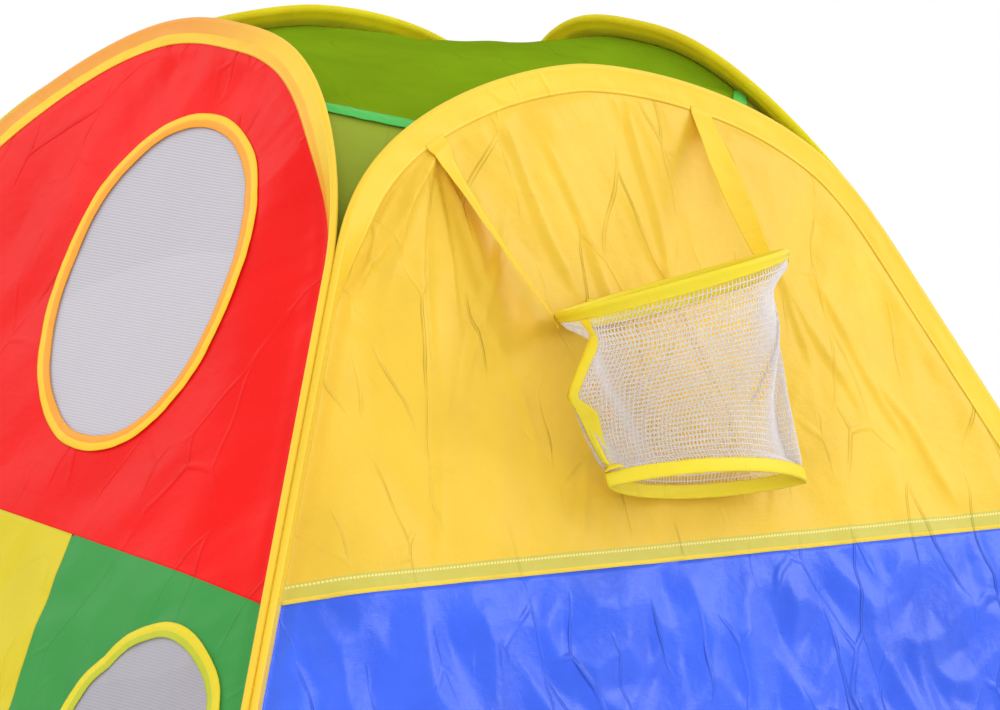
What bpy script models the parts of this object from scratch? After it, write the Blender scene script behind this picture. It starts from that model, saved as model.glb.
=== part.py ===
"""Pop-up play tent: four leaning cloth walls on sprung wire hoops, a cloth roof and a hoop net.

Metres, +Z up. The floor sheet's underside lies at z = 0, centred on the origin, and the front
wall with the hoop net faces -Y. Each wall is drawn flat in its own frame, with u across (to the
right as seen from outside), s up the slope and n out of the wall.
"""
import bpy
import bmesh
import math
import numpy as np
from mathutils import Matrix, Vector

for old in list(bpy.data.objects):
    bpy.data.objects.remove(old, do_unlink=True)

# Tent: the hoops part from each other at the parting height and arch over above it
BASE_WIDTH = 1.284
BASE_DEPTH = 1.076
PARTING_WIDTH = 0.600
PARTING_DEPTH = 0.478
PARTING_HEIGHT = 0.580
FRONT_ARCH_RISE = 0.144
SIDE_ARCH_RISE = 0.154
SEAM_HEIGHT = 0.366
HOOP_CORNER_RADIUS = 0.070
FRONT_ARCH_POWERS = (3.27, 1.67)
SIDE_ARCH_POWERS = (2.04, 2.77)

# Cloth, wire and tape stock
CLEARANCE = 0.0003
CLOTH = 0.0010
TAPE_PLY = 0.0007
WIRE_RADIUS = 0.00125
WIRE_END_GAP = 0.0010
FERRULE_SLIP = 0.00025
FERRULE_WALL = 0.00045
FERRULE_LENGTH = 0.022
CRIMP_DEPTH = 0.00015
CASING_BORE_RADIUS = 0.0026
CASING_WIDTH = 0.023
CLOTH_TUCK = 0.013
ROOF_TUCK = 0.004
SEAM_STRIP_HEIGHT = 0.015
SEAM_STRIP_DROP = 0.004
FLOOR_CORNER_RADIUS = 0.045

# Upper window: its middle across and up, and its half axes, as shares of the upper cloth
WINDOW_ACROSS_SHARE = 0.208
WINDOW_UP_SHARE = 0.5212
WINDOW_WIDTH_SHARE = 0.4463
WINDOW_HEIGHT_SHARE = 0.3473
WINDOW_TILT = math.radians(16)

# Lower window: the same as shares of the cloth between the stripe and the casing
LOW_WINDOW_ACROSS_SHARE = 0.5800
LOW_WINDOW_UP_SHARE = 0.6307
LOW_WINDOW_WIDTH_SHARE = 0.3560
LOW_WINDOW_HEIGHT_SHARE = 0.2636
BINDING_HALF_WIDTH = 0.0055
BINDING_RIDGE = 0.0005
STRIPE_HALF_WIDTH_AT_SEAM = 0.115
STRIPE_HALF_WIDTH_AT_FLOOR = 0.215

# Crawl door
DOOR_HALF_WIDTH = 0.215
DOOR_SILL = 0.050
DOOR_TOP = 0.560
DOOR_CORNER_SHARE = 0.25
DOOR_BINDING_WIDTH = 0.012

# Roof: its middle lies below the top of the front arch
ROOF_DROP = 0.016
FRONT_TAPE_SHARE = 0.49
SIDE_TAPE_SHARE = 0.55
ROOF_TAPE_HALF_WIDTH = 0.006
ROOF_TAPE_END_SHARE = 0.04
ROOF_TAPE_LIFT_SHARES = (1.0, 1.4, 1.6)
ROOF_RING_SHARES = (0.25, 0.5, 0.72, 0.88, 0.96, 1.0)
GUSSET_SAG = 0.006

# Ball hoop
HOOP_RADIUS = 0.0895
HOOP_OFFSET = -0.045
HOOP_UP_WALL = 0.619
HOOP_TILT = math.radians(20)
HOOP_ROLL = math.radians(10.5)
RIM_WIRE_RADIUS = 0.0015
RIM_BORE_RADIUS = 0.0020
RIM_SLEEVE_WIDTH = 0.0135
RIM_SLEEVE_BACK_WIDTH = 0.0250
TAB_WIDTH = 0.014
TAB_HEIGHT = 0.016
TAB_THICKNESS = 0.0020

# Net bag, its hem and its side tape
NET_TUCK = 0.0045
NET_STRAND = 0.0010
HEM_OFFSET = -0.001
HEM_UP_WALL = 0.462
HEM_HALF_LENGTH = 0.1025
HEM_HALF_DEPTH = 0.030
HEM_HEIGHT = 0.011
HEM_TURN = math.radians(3)
HEM_TILT = math.radians(5)
NET_TAPE_HALF_ANGLE = math.radians(13)

# Straps: where each leaves the casing and meets the rim, and how its width turns along its length
STRAP_WIDTH = 0.022
STRAP_LAP = 0.009
STRAP_DROP_ON_SLEEVE = 0.010
LEFT_STRAP_OFFSET = -0.168
RIGHT_STRAP_OFFSET = 0.118
LEFT_STRAP_ANGLE = math.radians(139)
RIGHT_STRAP_ANGLE = math.radians(-3)
STRAP_PATH_SHARES = (0.10, 0.22, 0.35, 0.48, 0.61, 0.74, 0.87, 1.0)
LEFT_STRAP_TURN_SHARES = (0.40, 0.60, 0.70, 0.78, 0.85, 0.91, 0.96, 1.0)
RIGHT_STRAP_TURN_SHARES = (0.10, 0.22, 0.35, 0.48, 0.61, 0.74, 0.87, 1.0)

# How finely the curves are cut
ARCH_SAMPLES = 1500
ARCH_STEPS = 28
CORNER_STEPS = 4
OVAL_STEPS = 28
DOOR_TOP_STEPS = 16
DOOR_CORNER_POINTS = 4
WIRE_SIDES = 6
FERRULE_SIDES = 10
FERRULE_RING_SHARES = (-0.5, -0.3, -0.2, 0.2, 0.3, 0.5)
GUSSET_ROWS = 8
GUSSET_COLUMNS = 4
ROOF_ARCH_STEPS = 5
TAPE_POINTS = 5
FLOOR_CORNER_POINTS = 5
NET_COLUMNS = 24
NET_ROWS = 9
FACET_HALF_ANGLE = math.radians(20)

# Colours and finish
YELLOW = (0.93, 0.62, 0.06)
TAPE_YELLOW = (0.98, 0.76, 0.12)
BRIGHT_YELLOW = (1.00, 0.82, 0.08)
RED = (0.88, 0.02, 0.02)
GREEN = (0.08, 0.36, 0.12)
BLUE = (0.05, 0.16, 0.86)
ROOF_GREEN = (0.22, 0.40, 0.06)
GUSSET_GREEN = (0.33, 0.45, 0.08)
TAPE_GREEN = (0.08, 0.50, 0.10)
OLIVE = (0.60, 0.52, 0.08)
MESH_GREY = (0.55, 0.52, 0.58)
NET_WHITE = (0.90, 0.88, 0.88)
STEEL = (0.45, 0.46, 0.48)


def finish(obj, colour, roughness=0.42, metallic=0.0, smooth=True):
    """Give an object its own material and smooth shading."""
    material = bpy.data.materials.new(obj.name)
    material.use_nodes = True
    shader = material.node_tree.nodes["Principled BSDF"]
    shader.inputs["Base Color"].default_value = (*colour, 1.0)
    shader.inputs["Roughness"].default_value = roughness
    shader.inputs["Metallic"].default_value = metallic
    obj.data.materials.append(material)
    if smooth:
        obj.data.shade_smooth()
        obj.data.set_sharp_from_angle(angle=math.radians(40))


def add_object(name, verts, faces, parent, colour, **look):
    """Make a mesh object from points in its parent's frame, with its faces pointing out."""
    mesh = bpy.data.meshes.new(name)
    mesh.from_pydata([tuple(map(float, v)) for v in verts], [], faces)
    bm = bmesh.new()
    bm.from_mesh(mesh)
    bmesh.ops.recalc_face_normals(bm, faces=bm.faces)
    bm.to_mesh(mesh)
    bm.free()
    obj = bpy.data.objects.new(name, mesh)
    bpy.context.scene.collection.objects.link(obj)
    obj.parent = parent
    finish(obj, colour, **look)
    return obj


def add_empty(name, matrix, parent=None):
    """An empty that carries pieces: a wall's frame or a joint's axis."""
    empty = bpy.data.objects.new(name, None)
    bpy.context.scene.collection.objects.link(empty)
    empty.parent = parent
    empty.matrix_world = matrix
    return empty


def sweep(points, inward, normal, profile, closed):
    """Carry a closed profile, or one for each station, along a path.

    A profile's first coordinate runs along inward and its second along normal.
    """
    profile = np.asarray(profile)
    verts = (points[:, None, :] + profile[..., :1] * inward[:, None, :]
             + profile[..., 1:] * normal[:, None, :]).reshape(-1, 3)
    count, ring = len(points), profile.shape[-2]
    faces = []
    for i in range(count if closed else count - 1):
        j = (i + 1) % count
        for k in range(ring):
            m = (k + 1) % ring
            faces.append((i * ring + k, j * ring + k, j * ring + m, i * ring + m))
    if not closed:
        faces.append(tuple(range(ring)))
        faces.append(tuple((count - 1) * ring + k for k in range(ring)))
    return verts, faces


def grid_faces(rows, columns, wrap=False):
    """Quads of a grid of points listed row by row."""
    faces = []
    for i in range(rows - 1):
        for j in range(columns if wrap else columns - 1):
            k = (j + 1) % columns
            faces.append((i * columns + j, i * columns + k, (i + 1) * columns + k, (i + 1) * columns + j))
    return faces


def circle_profile(radius, sides):
    """A round wire's section as a polygon."""
    angle = np.arange(sides) * 2 * math.pi / sides
    return np.stack([radius * np.cos(angle), radius * np.sin(angle)], 1)


def folded_tape_profile(bore, ply, slot, width, facet_angle):
    """A tape folded round a wire: a round bead and two plies with the cloth's slot between them.

    One flat of the bead faces facet_angle, measured from the inward direction.
    """
    outer = bore + ply
    outer_half = slot / 2 + ply
    a = math.asin(outer_half / outer)
    b = math.asin(slot / 2 / bore)
    angles = np.concatenate([np.linspace(a, facet_angle - FACET_HALF_ANGLE, 4),
                             np.linspace(facet_angle + FACET_HALF_ANGLE, 2 * math.pi - a, 3)])
    bead = [(outer * math.cos(t), outer * math.sin(t)) for t in angles]
    inner = [(bore * math.cos(t), bore * math.sin(t)) for t in np.linspace(2 * math.pi - b, b, 7)]
    end = width - outer
    return (bead + [(end, -outer_half), (end, -slot / 2)] + inner
            + [(end, slot / 2), (end, outer_half)])


class Wall:
    """One wall: its hoop's outline, flat in the wall's frame, and the way to the tent's frame."""

    def __init__(self, name, turn, span, parting, depth, parting_depth, rise, powers):
        self.name = name
        self.lean = math.atan2((depth - parting_depth) / 2, PARTING_HEIGHT)
        self.half_base = span / 2
        self.parting_up = PARTING_HEIGHT / math.cos(self.lean)
        self.seam_up = SEAM_HEIGHT / math.cos(self.lean)
        self.side_slope = (span - parting) / 2 / self.parting_up
        self.side_angle = math.atan(self.side_slope)
        self.rise = rise / math.cos(self.lean)
        self.powers = powers
        self.matrix = (Matrix.Rotation(math.radians(turn), 4, "Z")
                       @ Matrix.Translation((0, -depth / 2, 0))
                       @ Matrix.Rotation(math.pi / 2 - self.lean, 4, "X"))
        self.frame = add_empty(name + "_wall", self.matrix)

    def world(self, u, s, n):
        """A wall point, or arrays of them, in the tent's frame."""
        m = np.array(self.matrix)
        local = np.stack(np.broadcast_arrays(u, s, n), -1)
        return local @ m[:3, :3].T + m[:3, 3]

    def direction(self, u, s, n):
        return np.array(self.matrix.to_3x3()) @ np.array((u, s, n), float)

    def set_out(self, inset, bottom):
        """Stations of the hoop wire: corner, arch, corner, anticlockwise seen from outside."""
        along = inset / math.cos(self.side_angle)
        self.bottom = bottom
        w = np.sin(np.linspace(0, 1, ARCH_SAMPLES) * math.pi / 2)
        a, b = self.powers
        up = self.parting_up + (self.rise - inset) * w
        across = (self.half_base - along - up * self.side_slope) * (1 - w ** a) ** (1 / b)
        length = np.concatenate([[0], np.cumsum(np.hypot(np.diff(across), np.diff(up)))])
        self.half_arch = (across, up, length)
        across = np.concatenate([across, -across[-2::-1]])
        up = np.concatenate([up, up[-2::-1]])
        du, ds = np.gradient(across), np.gradient(up)
        size = np.hypot(du, ds)
        size[size == 0] = 1
        normal = np.stack([-ds / size, du / size], 1)
        length = np.concatenate([[0], np.cumsum(np.hypot(np.diff(across), np.diff(up)))])
        at = np.linspace(0, length[-1], ARCH_STEPS + 1)
        arch = np.stack([np.interp(at, length, c) for c in (across, up)], 1)
        arch_normal = np.stack([np.interp(at, length, c) for c in normal.T], 1)
        arch_normal[0] = (-math.cos(self.side_angle), -math.sin(self.side_angle))
        arch_normal[-1] = (math.cos(self.side_angle), -math.sin(self.side_angle))
        arch_normal /= np.linalg.norm(arch_normal, axis=1)[:, None]
        corner_u = self.half_base - along - bottom * self.side_slope
        tangent = HOOP_CORNER_RADIUS / math.tan((math.pi / 2 - self.side_angle) / 2)
        centre = np.array([corner_u - tangent, bottom + HOOP_CORNER_RADIUS])
        angle = np.linspace(-math.pi / 2, self.side_angle, CORNER_STEPS + 1)
        out = np.stack([np.cos(angle), np.sin(angle)], 1)
        right = centre + HOOP_CORNER_RADIUS * out
        mirror = np.array([-1, 1])
        self.stations = np.concatenate([right, arch, (right * mirror)[::-1]])
        self.normals = np.concatenate([-out, arch_normal, (-out * mirror)[::-1]])

    def outline(self, distance):
        """The hoop's outline moved inwards from the wire's centre."""
        return self.stations + distance * self.normals

    def arch_point(self, share, side, distance):
        """A point on the arch: share of the half arch above the parting, side -1 or 1."""
        across, up, length = self.half_arch
        at = share * length[-1]
        step = length[-1] / len(length)
        here = np.array([np.interp(at, length, across), np.interp(at, length, up)])
        ahead = np.array([np.interp(at + step, length, across), np.interp(at + step, length, up)])
        behind = np.array([np.interp(at - step, length, across), np.interp(at - step, length, up)])
        tangent = (ahead - behind) / np.linalg.norm(ahead - behind)
        point = here + distance * np.array([-tangent[1], tangent[0]])
        return point * (side, 1), tangent * (side, 1)

    def arch_share_at(self, offset, distance):
        """The share of the half arch whose inward point lies at an offset across."""
        shares = np.linspace(0, 1, ARCH_SAMPLES)[1:-1]
        reach = [self.arch_point(q, 1, distance)[0][0] for q in shares]
        return float(np.interp(-abs(offset), -np.array(reach), shares))

    def half_width(self, height, distance):
        """Half the width between the hoop's outline moved inwards by a distance, at a height."""
        line = self.outline(distance)
        line = line[line[:, 0] > 0]
        line = line[np.argsort(line[:, 1])]
        return float(np.interp(height, line[:, 1], line[:, 0]))

    def piece(self, name, profile, points, normals, colour, closed=True, **look):
        """Sweep a profile along flat points of this wall."""
        path = np.column_stack([points, np.zeros(len(points))])
        inward = np.column_stack([normals, np.zeros(len(points))])
        up = np.tile((0.0, 0.0, 1.0), (len(points), 1))
        verts, faces = sweep(path, inward, up, profile, closed)
        return add_object(name, verts, faces, self.frame, colour, **look)

    def cloth(self, name, loops, middle, colour, thickness=CLOTH, **look):
        """A flat piece of cloth with holes: the first loop is its edge, the others its holes."""
        bm = bmesh.new()
        edges = []
        for loop in loops:
            ring = [bm.verts.new((float(u), float(s), middle - thickness / 2)) for u, s in loop]
            edges += [bm.edges.new((ring[i], ring[(i + 1) % len(ring)])) for i in range(len(ring))]
        bmesh.ops.triangle_fill(bm, use_beauty=True, edges=edges)
        grown = bmesh.ops.extrude_face_region(bm, geom=list(bm.faces))
        moved = [g for g in grown["geom"] if isinstance(g, bmesh.types.BMVert)]
        bmesh.ops.translate(bm, verts=moved, vec=(0, 0, thickness))
        bmesh.ops.recalc_face_normals(bm, faces=bm.faces)
        mesh = bpy.data.meshes.new(name)
        bm.to_mesh(mesh)
        bm.free()
        obj = bpy.data.objects.new(name, mesh)
        bpy.context.scene.collection.objects.link(obj)
        obj.parent = self.frame
        finish(obj, colour, smooth=False, **look)
        return obj


def clip(loop, point, keep):
    """Cut a convex outline by the line through a point, keeping the side that keep points to."""
    loop = np.asarray(loop, float)
    side = (loop - point) @ np.asarray(keep, float)
    kept = []
    for i in range(len(loop)):
        j = (i + 1) % len(loop)
        if side[i] >= 0:
            kept.append(loop[i])
        if side[i] * side[j] < 0:
            kept.append(loop[i] + (loop[j] - loop[i]) * side[i] / (side[i] - side[j]))
    return np.array(kept)


def oval(centre, half_width, half_height, tilt, grow=0.0):
    """A tilted oval outline and its outward normals."""
    angle = np.arange(OVAL_STEPS) * 2 * math.pi / OVAL_STEPS
    out = np.stack([np.cos(angle) / half_width, np.sin(angle) / half_height], 1)
    out /= np.linalg.norm(out, axis=1)[:, None]
    points = np.stack([half_width * np.cos(angle), half_height * np.sin(angle)], 1) + grow * out
    turn = np.array([[math.cos(tilt), -math.sin(tilt)], [math.sin(tilt), math.cos(tilt)]])
    return points @ turn.T + centre, out @ turn.T


def solidify(obj, thickness):
    """Give a one-sided surface its thickness, half to each side."""
    modifier = obj.modifiers.new("thickness", "SOLIDIFY")
    modifier.thickness = thickness
    modifier.offset = 0.0


# Walls and their wire hoops
sizes_front = (BASE_WIDTH, PARTING_WIDTH, BASE_DEPTH, PARTING_DEPTH, FRONT_ARCH_RISE, FRONT_ARCH_POWERS)
sizes_side = (BASE_DEPTH, PARTING_DEPTH, BASE_WIDTH, PARTING_WIDTH, SIDE_ARCH_RISE, SIDE_ARCH_POWERS)
front = Wall("front", 0, *sizes_front)
right = Wall("right", 90, *sizes_side)
back = Wall("back", 180, *sizes_front)
left = Wall("left", 270, *sizes_side)
walls = (front, right, back, left)

bead_radius = CASING_BORE_RADIUS + TAPE_PLY
slot = CLOTH + 2 * CLEARANCE
ply_face = slot / 2 + TAPE_PLY
casing_reach = CASING_WIDTH - bead_radius
cloth_edge = casing_reach - CLOTH_TUCK
cos_between = math.sin(front.lean) * math.sin(left.lean)
half_corner = (math.pi - math.acos(cos_between)) / 2
hoop_inset = (bead_radius + CLEARANCE / 2) / math.sin(half_corner)
for wall in walls:
    foot = CLOTH + CLEARANCE + bead_radius * math.cos(FACET_HALF_ANGLE)
    wall.set_out(hoop_inset, foot / math.cos(wall.lean))


def add_hoop(wall):
    """The wall's spring wire, the ferrule that joins its ends and the tape casing round it."""
    ends = np.array([[WIRE_END_GAP / 2, wall.bottom], [-WIRE_END_GAP / 2, wall.bottom]])
    points = np.concatenate([ends[:1], wall.stations, ends[1:]])
    normals = np.concatenate([[[0, 1]], wall.normals, [[0, 1]]])
    steel = dict(roughness=0.3, metallic=1.0)
    wall.piece(wall.name + "_hoop_wire", circle_profile(WIRE_RADIUS, WIRE_SIDES), points, normals, STEEL,
               closed=False, **steel)

    bore = WIRE_RADIUS + FERRULE_SLIP
    outer = bore + FERRULE_WALL
    along = np.array(FERRULE_RING_SHARES) * FERRULE_LENGTH
    radii = (outer, outer, outer - CRIMP_DEPTH, outer - CRIMP_DEPTH, outer, outer)
    rings = [(u, r) for u, r in zip(along, radii)] + [(along[-1], bore), (along[0], bore)]
    turn = np.arange(FERRULE_SIDES) * 2 * math.pi / FERRULE_SIDES
    verts = [(u, wall.bottom + r * math.cos(t), r * math.sin(t)) for u, r in rings for t in turn]
    faces = grid_faces(len(rings), FERRULE_SIDES, wrap=True)
    last = (len(rings) - 1) * FERRULE_SIDES
    for k in range(FERRULE_SIDES):
        m = (k + 1) % FERRULE_SIDES
        faces.append((last + k, last + m, m, k))
    add_object(wall.name + "_hoop_ferrule", verts, faces, wall.frame, STEEL, **steel)

    profile = folded_tape_profile(CASING_BORE_RADIUS, TAPE_PLY, slot, CASING_WIDTH,
                                  math.pi + wall.lean)
    wall.piece(wall.name + "_casing", profile, wall.stations, wall.normals, TAPE_YELLOW)


def seam_strip(wall, name, region, colour):
    """The folded allowance behind the seam of the upper and lower cloth."""
    region = clip(region, (0, wall.seam_up - SEAM_STRIP_DROP), (0, 1))
    region = clip(region, (0, wall.seam_up - SEAM_STRIP_DROP + SEAM_STRIP_HEIGHT), (0, -1))
    wall.cloth(name, [region], -(CLOTH + CLEARANCE), colour)


def window(wall, name, centre, half_width, half_height, tilt, colour):
    """A mesh pane with its bound edge; gives back the hole to cut in the cloth."""
    hole, _ = oval(centre, half_width, half_height, tilt, grow=CLEARANCE / 2)
    pane, _ = oval(centre, half_width, half_height, tilt, grow=-CLEARANCE / 2)
    ring, out = oval(centre, half_width, half_height, tilt)
    wall.cloth(name + "_mesh", [pane], 0.0, MESH_GREY, roughness=0.7)
    base = CLOTH / 2 + CLEARANCE
    top = base + CLOTH
    profile = [(-BINDING_HALF_WIDTH, base), (BINDING_HALF_WIDTH, base), (BINDING_HALF_WIDTH, top),
               (0.0, top + BINDING_RIDGE), (-BINDING_HALF_WIDTH, top)]
    wall.piece(name + "_binding", profile, ring, out, colour)
    return hole


for wall in walls:
    add_hoop(wall)

# Front wall: yellow over blue
above, below = (0, 1), (0, -1)
half_gap = CLEARANCE / 2


def split_at_seam(wall):
    """The wall's cloth above and below its seam, and the clear region between the casings."""
    cloth = wall.outline(cloth_edge)
    upper = clip(cloth, (0, wall.seam_up + half_gap), above)
    lower = clip(cloth, (0, wall.seam_up - half_gap), below)
    return upper, lower, wall.outline(casing_reach + CLEARANCE)


upper, lower, region = split_at_seam(front)
front.cloth("front_upper_cloth", [upper], 0.0, YELLOW)
front.cloth("front_lower_cloth", [lower], 0.0, BLUE)
seam_strip(front, "front_seam_strip", region, OLIVE)

# Left wall: red with a tilted window, over green, yellow and green
upper, lower, region = split_at_seam(left)
top_of_wall = left.parting_up + left.rise - hoop_inset - casing_reach
window_up = left.seam_up + WINDOW_UP_SHARE * (top_of_wall - left.seam_up)
clear_half = left.half_width(window_up, casing_reach)
window_across = WINDOW_ACROSS_SHARE * clear_half
window_half = (WINDOW_WIDTH_SHARE * clear_half, WINDOW_HEIGHT_SHARE * (top_of_wall - left.seam_up))
hole = window(left, "left_window", (window_across, window_up), *window_half, WINDOW_TILT, TAPE_YELLOW)
left.cloth("left_upper_cloth", [upper, hole], 0.0, RED)
stripe_run = np.array([STRIPE_HALF_WIDTH_AT_SEAM - STRIPE_HALF_WIDTH_AT_FLOOR, left.seam_up])
stripe_out = np.array([stripe_run[1], -stripe_run[0]]) / np.linalg.norm(stripe_run)
stripe_edge = np.array([STRIPE_HALF_WIDTH_AT_FLOOR, 0.0])
mirror = np.array([-1, 1])
front_part = clip(lower, stripe_edge + half_gap * stripe_out, stripe_out)
back_part = clip(lower, (stripe_edge + half_gap * stripe_out) * mirror, stripe_out * mirror)
middle = clip(lower, stripe_edge - half_gap * stripe_out, -stripe_out)
middle = clip(middle, (stripe_edge - half_gap * stripe_out) * mirror, -stripe_out * mirror)
low_up = LOW_WINDOW_UP_SHARE * left.seam_up
stripe_at = STRIPE_HALF_WIDTH_AT_FLOOR + stripe_run[0] * LOW_WINDOW_UP_SHARE
clear_width = left.half_width(low_up, casing_reach) - stripe_at
low_centre = (stripe_at + LOW_WINDOW_ACROSS_SHARE * clear_width, low_up)
low_half = (LOW_WINDOW_WIDTH_SHARE * clear_width, LOW_WINDOW_HEIGHT_SHARE * left.seam_up)
hole = window(left, "left_low_window", low_centre, *low_half, WINDOW_TILT, BRIGHT_YELLOW)
left.cloth("left_lower_front_cloth", [front_part, hole], 0.0, GREEN)
left.cloth("left_lower_middle_cloth", [middle], 0.0, TAPE_YELLOW)
left.cloth("left_lower_back_cloth", [back_part], 0.0, GREEN)
seam_strip(left, "left_seam_strip", region, RED)

# Right wall: blue with a window, over yellow
upper, lower, region = split_at_seam(right)
hole = window(right, "right_window", (-window_across, window_up), *window_half, -WINDOW_TILT, TAPE_YELLOW)
right.cloth("right_upper_cloth", [upper, hole], 0.0, BLUE)
right.cloth("right_lower_cloth", [lower], 0.0, YELLOW)
seam_strip(right, "right_seam_strip", region, OLIVE)


def door_outline():
    """The crawl door: a flat sill with round corners, straight sides and a half-round top."""
    spring = DOOR_TOP - DOOR_HALF_WIDTH
    corner = DOOR_CORNER_SHARE * DOOR_HALF_WIDTH
    top = np.linspace(0, math.pi, DOOR_TOP_STEPS + 1)
    arc = np.stack([DOOR_HALF_WIDTH * np.cos(top), spring + DOOR_HALF_WIDTH * np.sin(top)], 1)
    turn = np.linspace(-math.pi / 2, 0, DOOR_CORNER_POINTS)
    low = np.stack([DOOR_HALF_WIDTH - corner + corner * np.cos(turn),
                    DOOR_SILL + corner + corner * np.sin(turn)], 1)
    points = np.concatenate([low, arc, (low * mirror)[::-1]])
    low_out = np.stack([np.cos(turn), np.sin(turn)], 1)
    top_out = np.stack([np.cos(top), np.sin(top)], 1)
    return points, np.concatenate([low_out, top_out, (low_out * mirror)[::-1]])


# Back wall: green over red, with the crawl door through both
upper, lower, region = split_at_seam(back)
door, door_out = door_outline()


def opened(loop, height):
    """A clipped outline as a run that starts and ends on the seam line."""
    ends = [i for i in range(len(loop)) if abs(loop[i][1] - height) < half_gap / 2]
    return loop if ends[1] - ends[0] > 1 else np.roll(loop, -ends[1], axis=0)


for name, cloth, keep, height, colour in (
        ("back_upper_cloth", upper, above, back.seam_up + half_gap, GREEN),
        ("back_lower_cloth", lower, below, back.seam_up - half_gap, RED)):
    cut = opened(clip(door, (0, height), keep), height)[::-1]
    back.cloth(name, [np.concatenate([opened(cloth, height), cut])], 0.0, colour)
fold_edge = -(CLEARANCE + TAPE_PLY)
profile = [(DOOR_BINDING_WIDTH, ply_face), (fold_edge, ply_face), (fold_edge, -ply_face),
           (DOOR_BINDING_WIDTH, -ply_face), (DOOR_BINDING_WIDTH, -slot / 2), (-CLEARANCE, -slot / 2),
           (-CLEARANCE, slot / 2), (DOOR_BINDING_WIDTH, slot / 2)]
back.piece("door_binding", profile, door, door_out, TAPE_YELLOW)
door_reach = DOOR_HALF_WIDTH + DOOR_BINDING_WIDTH + CLEARANCE
seam_strip(back, "back_seam_strip_left", clip(region, (-door_reach, 0), (-1, 0)), GREEN)
seam_strip(back, "back_seam_strip_right", clip(region, (door_reach, 0), (1, 0)), GREEN)

# Roof: a top panel between the four arches and a gusset in each corner
roof_edge = casing_reach - ROOF_TUCK
roof_face = -(ply_face + 2 * CLEARANCE)
tape_share = {front: FRONT_TAPE_SHARE, back: FRONT_TAPE_SHARE, left: SIDE_TAPE_SHARE, right: SIDE_TAPE_SHARE}
centre = np.array([0.0, 0.0, PARTING_HEIGHT + FRONT_ARCH_RISE - ROOF_DROP])


def roof_point(edge, r):
    """A point of the top panel, r of the way from its middle out to a point of its edge."""
    return centre + (edge - centre) * np.array([r, r, r ** 3])


def edge_point(wall, share, side):
    """A point of the roof's edge, on the inner face of a casing."""
    (u, s), _ = wall.arch_point(share, side, roof_edge)
    return wall.world(u, s, roof_face)


def gusset_rows(first, second, shares):
    """Points between the right arch of one wall and the left arch of the next, row by row."""
    rows = []
    for share in shares:
        a = edge_point(first, share * tape_share[first], 1)
        b = edge_point(second, share * tape_share[second], -1)
        v = np.linspace(0, 1, GUSSET_COLUMNS + 1)[:, None]
        dip = GUSSET_SAG * math.sin(math.pi * share) * np.sin(math.pi * v)
        inward = centre - (a + b) / 2
        inward[2] = 0
        rows.append(a + (b - a) * v + dip * inward / np.linalg.norm(inward))
    return np.array(rows)


corners = ((left, front, "front_left"), (front, right, "front_right"),
           (right, back, "back_right"), (back, left, "back_left"))
for first, second, corner in corners:
    rows = gusset_rows(first, second, np.linspace(0, 1, GUSSET_ROWS))
    gusset = add_object("gusset_" + corner, rows.reshape(-1, 3), grid_faces(*rows.shape[:2]), None,
                        GUSSET_GREEN)
    solidify(gusset, CLOTH)

boundary = []
for wall in walls:
    _, _, length = wall.half_arch
    start = tape_share[wall] + (CLOTH + CLEARANCE) / length[-1]
    run = np.linspace(start, 1, ROOF_ARCH_STEPS + 1)
    boundary += [edge_point(wall, q, -1) for q in run]
    boundary += [edge_point(wall, q, 1) for q in run[-2::-1]]
    end = edge_point(wall, start, 1)
    following = walls[(walls.index(wall) + 1) % 4]
    _, _, length = following.half_arch
    begin = edge_point(following, tape_share[following] + (CLOTH + CLEARANCE) / length[-1], -1)
    boundary += [end + (begin - end) * v for v in np.linspace(0, 1, GUSSET_COLUMNS + 1)[1:-1]]
boundary = np.array(boundary)
rings = [roof_point(boundary, r) for r in ROOF_RING_SHARES]
verts = np.concatenate([[centre]] + rings)
count = len(boundary)
faces = [(0, 1 + k, 1 + (k + 1) % count) for k in range(count)]
faces += [tuple(1 + i for i in face) for face in grid_faces(len(rings), count, wrap=True)]
roof = add_object("roof_top", verts, faces, None, ROOF_GREEN)
solidify(roof, CLOTH)

for first, second, corner in corners:
    arch_length = tape_share[first] * first.half_arch[2][-1]
    lower_row, seam = gusset_rows(first, second, (1 - ROOF_TAPE_HALF_WIDTH / arch_length, 1))
    half = GUSSET_COLUMNS // 2
    inward = centre - seam[half]
    inward[2] = 0
    inward /= np.linalg.norm(inward)
    upper_row = roof_point(seam, 1 - ROOF_TAPE_HALF_WIDTH / np.linalg.norm(seam[half] - centre))
    along = (seam[-1] - seam[0]) / np.linalg.norm(seam[-1] - seam[0])
    slope = seam[half] - lower_row[half]
    lift = CLOTH + 2 * CLEARANCE
    gusset_normal = np.cross(along, slope)
    gusset_normal *= np.sign(-gusset_normal @ inward) / np.linalg.norm(gusset_normal)
    up = np.array([0.0, 0.0, 1.0])
    ridge = (gusset_normal + up) / np.linalg.norm(gusset_normal + up)
    v = np.linspace(ROOF_TAPE_END_SHARE, 1 - ROOF_TAPE_END_SHARE, TAPE_POINTS)[:, None]
    rows = [row[0] + (row[-1] - row[0]) * v + share * lift * away
            for row, share, away in zip((lower_row, seam, upper_row), ROOF_TAPE_LIFT_SHARES,
                                        (gusset_normal, ridge, up))]
    rows = np.array(rows)
    tape = add_object("roof_tape_" + corner, rows.reshape(-1, 3), grid_faces(len(rows), TAPE_POINTS), None,
                      TAPE_GREEN)
    solidify(tape, CLOTH)

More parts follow.
